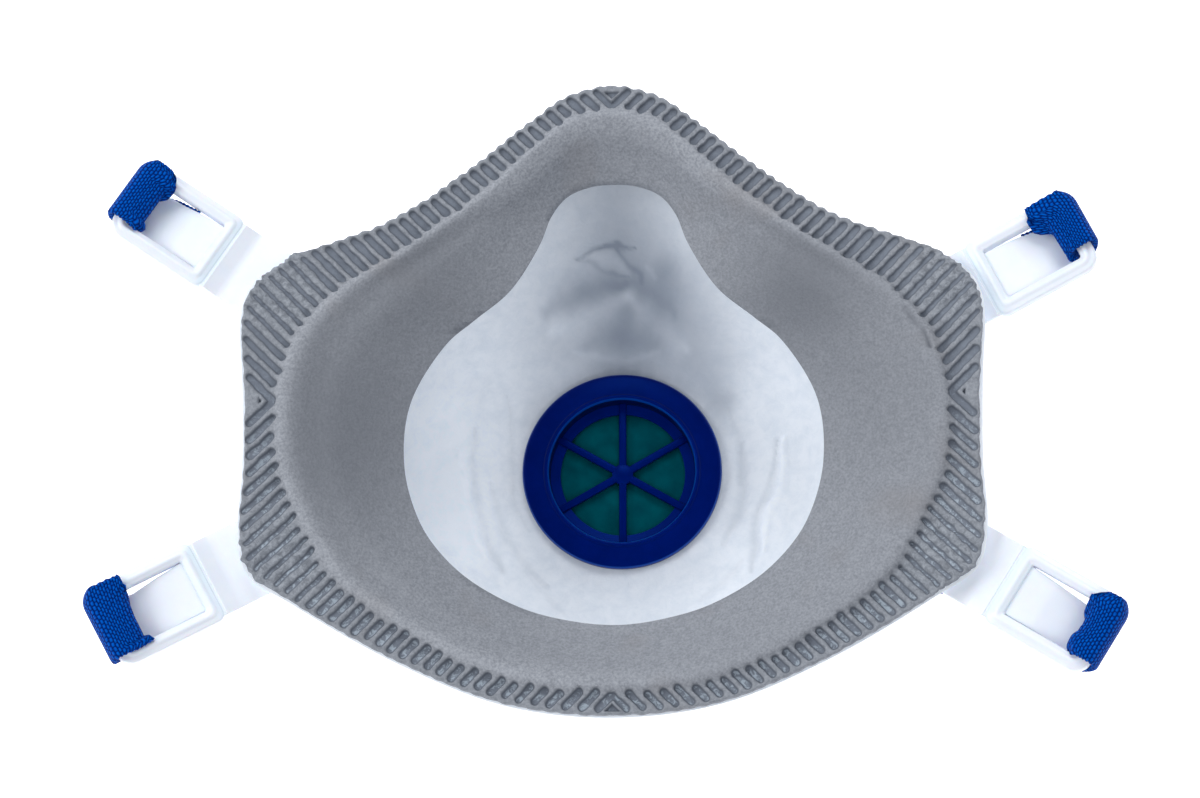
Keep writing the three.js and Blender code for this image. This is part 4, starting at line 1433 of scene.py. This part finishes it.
@dataclass
class HeadBand:
    """Knitted elastic band from one buckle, round the front of the cup, to the other."""

    name: str
    left: BuckleCorner
    right: BuckleCorner
    node: str
    route: tuple[tuple[float, float, float], ...]
    wraps: tuple[BandWrap, BandWrap]
    width: float = 11.2
    thickness: float = 1.0
    stitch: float = 0.9
    under_tongue: tuple[tuple[float, float], ...] = ((-12.8, -3.3), (-9, -4.6), (-6, -5.8), (-4.7, -6.25))
    wrap: tuple[tuple[float, float], ...] = (
        (-3.8, -5.6), (-3.75, -3.6), (-4.2, -1.9), (-5.0, -0.8), (-5.1, 0.2), (-4.3, 0.95),
        (-3.0, 1.3), (-1.2, 1.45), (0.2, 1.2), (0.9, 0.1), (0.95, -1.6), (0.5, -3.6), (-2, -6.6),
        (-8, -10.6),
    )

    def side_line(self, tail: float) -> np.ndarray:
        """The wrap seen from the side, as x and z: under the tongue, then over the bar."""
        xs = np.linspace(-tail, -4.7, 4)
        start = np.column_stack([xs, np.interp(xs, *zip(*self.under_tongue))])
        knots = np.vstack([start, self.wrap])
        return open_curve(knots, np.linspace(0, len(knots) - 1, 160))

    def wrap_lines(self, corner: BuckleCorner, lie: BandWrap, across: np.ndarray) -> np.ndarray:
        """Centre surface round one end bar.

        Args:
            corner: The buckle.
            lie: How the band lies on it.
            across: Places across the band, from 0 at its upper edge to 1 at its lower.

        Returns:
            Points in the part's frame, by place along the wrap and place across it.
        """
        side_line = self.side_line(lie.tail)
        at = np.linspace(0, len(self.wrap) + 3, len(side_line))[:, None]
        half_bar, corner_radius, rail_inner = (
            StrapBuckle.frame_width / 2, StrapBuckle.outer_radius, 5.15,
        )
        on_bar = smooth_step(6.2, 8.4, at) * smooth_step(16.4, 14.4, at)
        tail_low = -5.0
        tail = lie.tail_top + (tail_low - lie.tail_top) * across
        away = (0.5 - across) * self.width + lie.lift
        narrow = np.where(at < 11, tail[None], away[None])
        along_bar = lie.upper + (lie.lower - lie.upper) * across
        y = narrow * (1 - on_bar) + (half_bar - along_bar)[None] * on_bar
        past = np.clip(np.abs(y) - (half_bar - corner_radius), 0, corner_radius)
        turn_in = corner_radius - np.sqrt(corner_radius ** 2 - past ** 2)
        outer = smooth_step(10.6, 12.6, at) * on_bar
        fold = smooth_step(5.0, 7.0, at) * smooth_step(11.6, 9.0, at)
        creep = np.interp(along_bar, *zip(*lie.reach)) - 5.6
        x = side_line[:, :1] - turn_in * outer - creep[None] * fold
        pleats = 0.11 * np.sin(2 * math.pi * along_bar / 1.35 + wander(x, y, 9.0, 61))
        from_edge = np.minimum(across, 1 - across) * self.width
        bulging = smooth_step(4.6, 7.0, at) * smooth_step(11.4, 9.6, at)
        droop = -1.3 * smooth_step(1.8, 0.2, from_edge)
        curl = 1.6 * max(lie.tail_top - 4, 0) * np.exp(-(across * self.width / 0.8) ** 2)
        curl = curl * smooth_step(3.0, 1.5, at)
        hanging = smooth_step(4.6, 7.0, at) * smooth_step(9.6, 8.6, at)
        z = side_line[:, 1:] + pleats * bulging + droop * hanging + curl
        rail_top = -12 + 13.1 * smooth_step(rail_inner, rail_inner + 0.3, np.abs(y))
        z = np.where((at > 4) & (at < 12), np.maximum(z, rail_top), z)
        gone = np.concatenate([[0], np.cumsum(np.linalg.norm(np.diff(side_line, axis=0), axis=1))])
        loops = 0.1 * np.sin(2 * math.pi * gone / self.stitch)[:, None] * np.exp(-(from_edge / 0.4) ** 2)
        y = y + loops * np.sign(0.5 - across)
        place = np.array(corner.place)
        return np.dstack([x, y * corner.upward, z]) @ place[:3, :3].T + place[:3, 3]

    def surface(self) -> np.ndarray:
        """Centre surface of the whole band, from one cut end to the other."""
        across = np.linspace(0, 1, 45)
        right = self.wrap_lines(self.right, self.wraps[1], across)
        left = self.wrap_lines(self.left, self.wraps[0], across)
        knots = np.array(self.route, float)
        middle_right, middle_left = right[-1].mean(axis=0), left[-1].mean(axis=0)
        full = np.vstack([right[-8].mean(axis=0), middle_right, knots, middle_left, left[-8].mean(axis=0)])
        places = np.linspace(1, len(full) - 2, 150)
        centre = open_curve(full, places)[1:-1]
        share = np.linspace(0, 1, len(centre))[:, None]
        lie_right = (right[-1, 0] - right[-1, -1]) / self.width
        lie_left = (left[-1, 0] - left[-1, -1]) / self.width
        level = np.array((0, 1.0, 0))
        near = smooth_step(0.22, 0.0, share)
        far = smooth_step(0.78, 1.0, share)
        lie = level * (1 - near - far) + lie_right * near + lie_left * far
        lie /= np.linalg.norm(lie, axis=1)[:, None]
        span = ((0.5 - across) * self.width)[None, :, None]
        middle = centre[:, None, :] + lie[:, None, :] * span
        return np.concatenate([right, middle, left[::-1]])

    def build(self, material: bpy.types.Material) -> bpy.types.Object:
        """Make the band.

        Args:
            material: The elastic that both bands share.

        Returns:
            The band in its place.
        """
        surface = self.surface()
        along = np.gradient(surface, axis=0)
        sideways = np.gradient(surface, axis=1)
        square = np.cross(along, sideways)
        square /= np.linalg.norm(square, axis=2)[..., None]
        half = self.thickness / 2
        edge = np.ones(surface.shape[1])
        edge[[0, -1]] = 0.45
        top = surface + square * half * edge[None, :, None]
        under = surface - square * half * edge[None, :, None]
        mesh = swept(np.concatenate([top, under[:, ::-1]], axis=1))
        self.map_in_mm(mesh, surface)
        piece = finish_mesh(self.name, mesh, sharp_deg=70)
        piece.data.materials.append(material)
        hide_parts(self.node)
        return piece

    def map_in_mm(self, mesh: bmesh.types.BMesh, surface: np.ndarray) -> None:
        """Turn the grid's UV into millimetres across and along the band."""
        steps = np.linalg.norm(np.diff(surface.mean(axis=1), axis=0), axis=1)
        gone = np.concatenate([[0], np.cumsum(steps)])
        uv = mesh.loops.layers.uv["UVMap"]
        round_share = 2 * self.width + 2 * self.thickness
        for face in mesh.faces:
            for loop in face.loops:
                u, v = loop[uv].uv
                loop[uv].uv = (u * round_share, float(np.interp(v * (len(gone) - 1), range(len(gone)), gone)))


# ---------------------------------------------------------------- studio
@dataclass
class Studio:
    """Pale floor, four soft lights of which the left one is strongest, and the camera."""

    target: tuple[float, float, float] = (-2.1, 3.1, 57.0)
    eye: tuple[float, float, float] = (33.3, -177.8, 732.3)
    lens: float = 111.15
    sensor: float = 36.0

    def camera(self) -> None:
        """Place the camera."""
        data = bpy.data.cameras.new("studio_camera")
        data.lens, data.sensor_width = self.lens, self.sensor
        data.clip_start, data.clip_end = 0.01, 20
        camera = bpy.data.objects.new("studio_camera", data)
        bpy.context.collection.objects.link(camera)
        eye, target = Vector(self.eye) * MM, Vector(self.target) * MM
        away = (eye - target).normalized()
        right = Vector((0, 1, 0)).cross(away).normalized()
        up = away.cross(right)
        turn = Matrix((right, up, away)).transposed().to_4x4()
        camera.matrix_world = Matrix.Translation(eye) @ turn
        bpy.context.scene.camera = camera

    def light(self, name: str, place: Vector, size: float, watts: float, tint: str) -> None:
        """Hang one soft square light that looks at the part.

        Args:
            name: Its name.
            place: Where it hangs, in metres.
            size: Its side, in metres.
            watts: Its power.
            tint: Its colour.
        """
        data = bpy.data.lights.new(name, "AREA")
        data.shape, data.size, data.energy = "SQUARE", size, watts
        data.color = srgb(tint)[:3]
        lamp = bpy.data.objects.new(name, data)
        bpy.context.collection.objects.link(lamp)
        lamp.location = place
        lamp.rotation_euler = (Vector((0, 0, 0.04)) - place).to_track_quat("-Z", "Y").to_euler()

    def build(self) -> None:
        """Set the whole studio up."""
        self.camera()
        self.light("softbox_left", Vector((-1.2, 0.1, 0.95)), 0.9, 12.0, "#ffffff")
        self.light("softbox_right", Vector((1.2, 0.1, 0.95)), 0.9, 2.4, "#f8fbff")
        self.light("softbox_top", Vector((0.1, 1.1, 1.05)), 0.9, 9.5, "#ffffff")
        self.light("softbox_near", Vector((0.1, -1.0, 1.2)), 1.0, 5.5, "#ffffff")
        world = bpy.data.worlds.new("studio_world")
        world.use_nodes = True
        sky = world.node_tree.nodes["Background"]
        sky.inputs["Color"].default_value = srgb("#f4f7ff")
        sky.inputs["Strength"].default_value = 0.41
        bpy.context.scene.world = world
        bpy.context.scene.view_settings.view_transform = "Standard"
        mesh = bmesh.new()
        bmesh.ops.create_grid(mesh, x_segments=1, y_segments=1, size=3000)
        floor = finish_mesh("studio_floor", mesh)
        floor.data.materials.append(TableAcrylic().build())


def main() -> None:
    """Build the respirator piece by piece, then the studio."""
    logging.basicConfig(level=logging.INFO, format="%(message)s")
    Studio().build()
    pieces = [CupShell().build(), FaceSeal().build(), *ExhalationValve().build()]
    plastic = MouldedPlastic(
        name="natural_polypropylene", colour="#ecf2fa", worn="#e5ecf6", roughness=0.3, subsurface=0.15,
    ).build()
    pieces += [StrapBuckle(corner).build(plastic) for corner in BuckleCorner]
    elastic = KnittedElastic().build()
    pieces += [
        HeadBand(
            "upper_head_band", BuckleCorner.UPPER_LEFT, BuckleCorner.UPPER_RIGHT, "head_band_upper",
            (
                (67, 29.5, 37), (53, 28.5, 25), (38, 27, 16), (20, 28, 9.5), (0, 28.5, 7.5), (-20, 28, 9.5),
                (-38, 27, 16), (-53, 28.5, 25), (-67, 32.5, 37),
            ),
            (
                BandWrap(0.1, 13.7, (
                    (0, 4.6), (0.9, 6.4), (1.5, 6.8), (3.0, 6.8), (4.0, 5.5), (11.6, 5.5), (12.4, 6.5),
                    (13.7, 5.4),
                ), 12.8, 5.05, 0.4),
                BandWrap(0.1, 12.0, (
                    (0, 8.4), (2.4, 8.7), (3.4, 6.6), (4.6, 5.5), (12.0, 5.2),
                ), 10.6, 5.05, 0.9),
            ),
        ).build(elastic),
        HeadBand(
            "lower_head_band", BuckleCorner.LOWER_LEFT, BuckleCorner.LOWER_RIGHT, "head_band_lower",
            (
                (67, -26, 37), (53, -24, 25), (38, -24.5, 16), (20, -27, 9.5), (0, -28.5, 7.5),
                (-20, -27, 9.5), (-38, -24.5, 16), (-53, -23.5, 25), (-67, -23.5, 37),
            ),
            (
                BandWrap(0.1, 14.4, (
                    (0, 7.4), (4, 6.5), (8, 6.1), (12.9, 6.0), (13.6, 7.9), (14.4, 6.2),
                ), 7.6, 3.2, 0.0),
                BandWrap(0.3, 13.6, (
                    (0, 3.4), (1.2, 5.2), (2.2, 6.3), (3.8, 5.2), (7.5, 4.7), (9.6, 4.9), (10.4, 5.4),
                    (12.6, 5.4), (13.6, 4.6),
                ), 7.6, 3.2, -1.4),
            ),
        ).build(elastic),
    ]
    for piece in pieces:
        LOG.info("%s: %d faces", piece.name, len(piece.data.polygons))


if __name__ == "__main__":
    main()
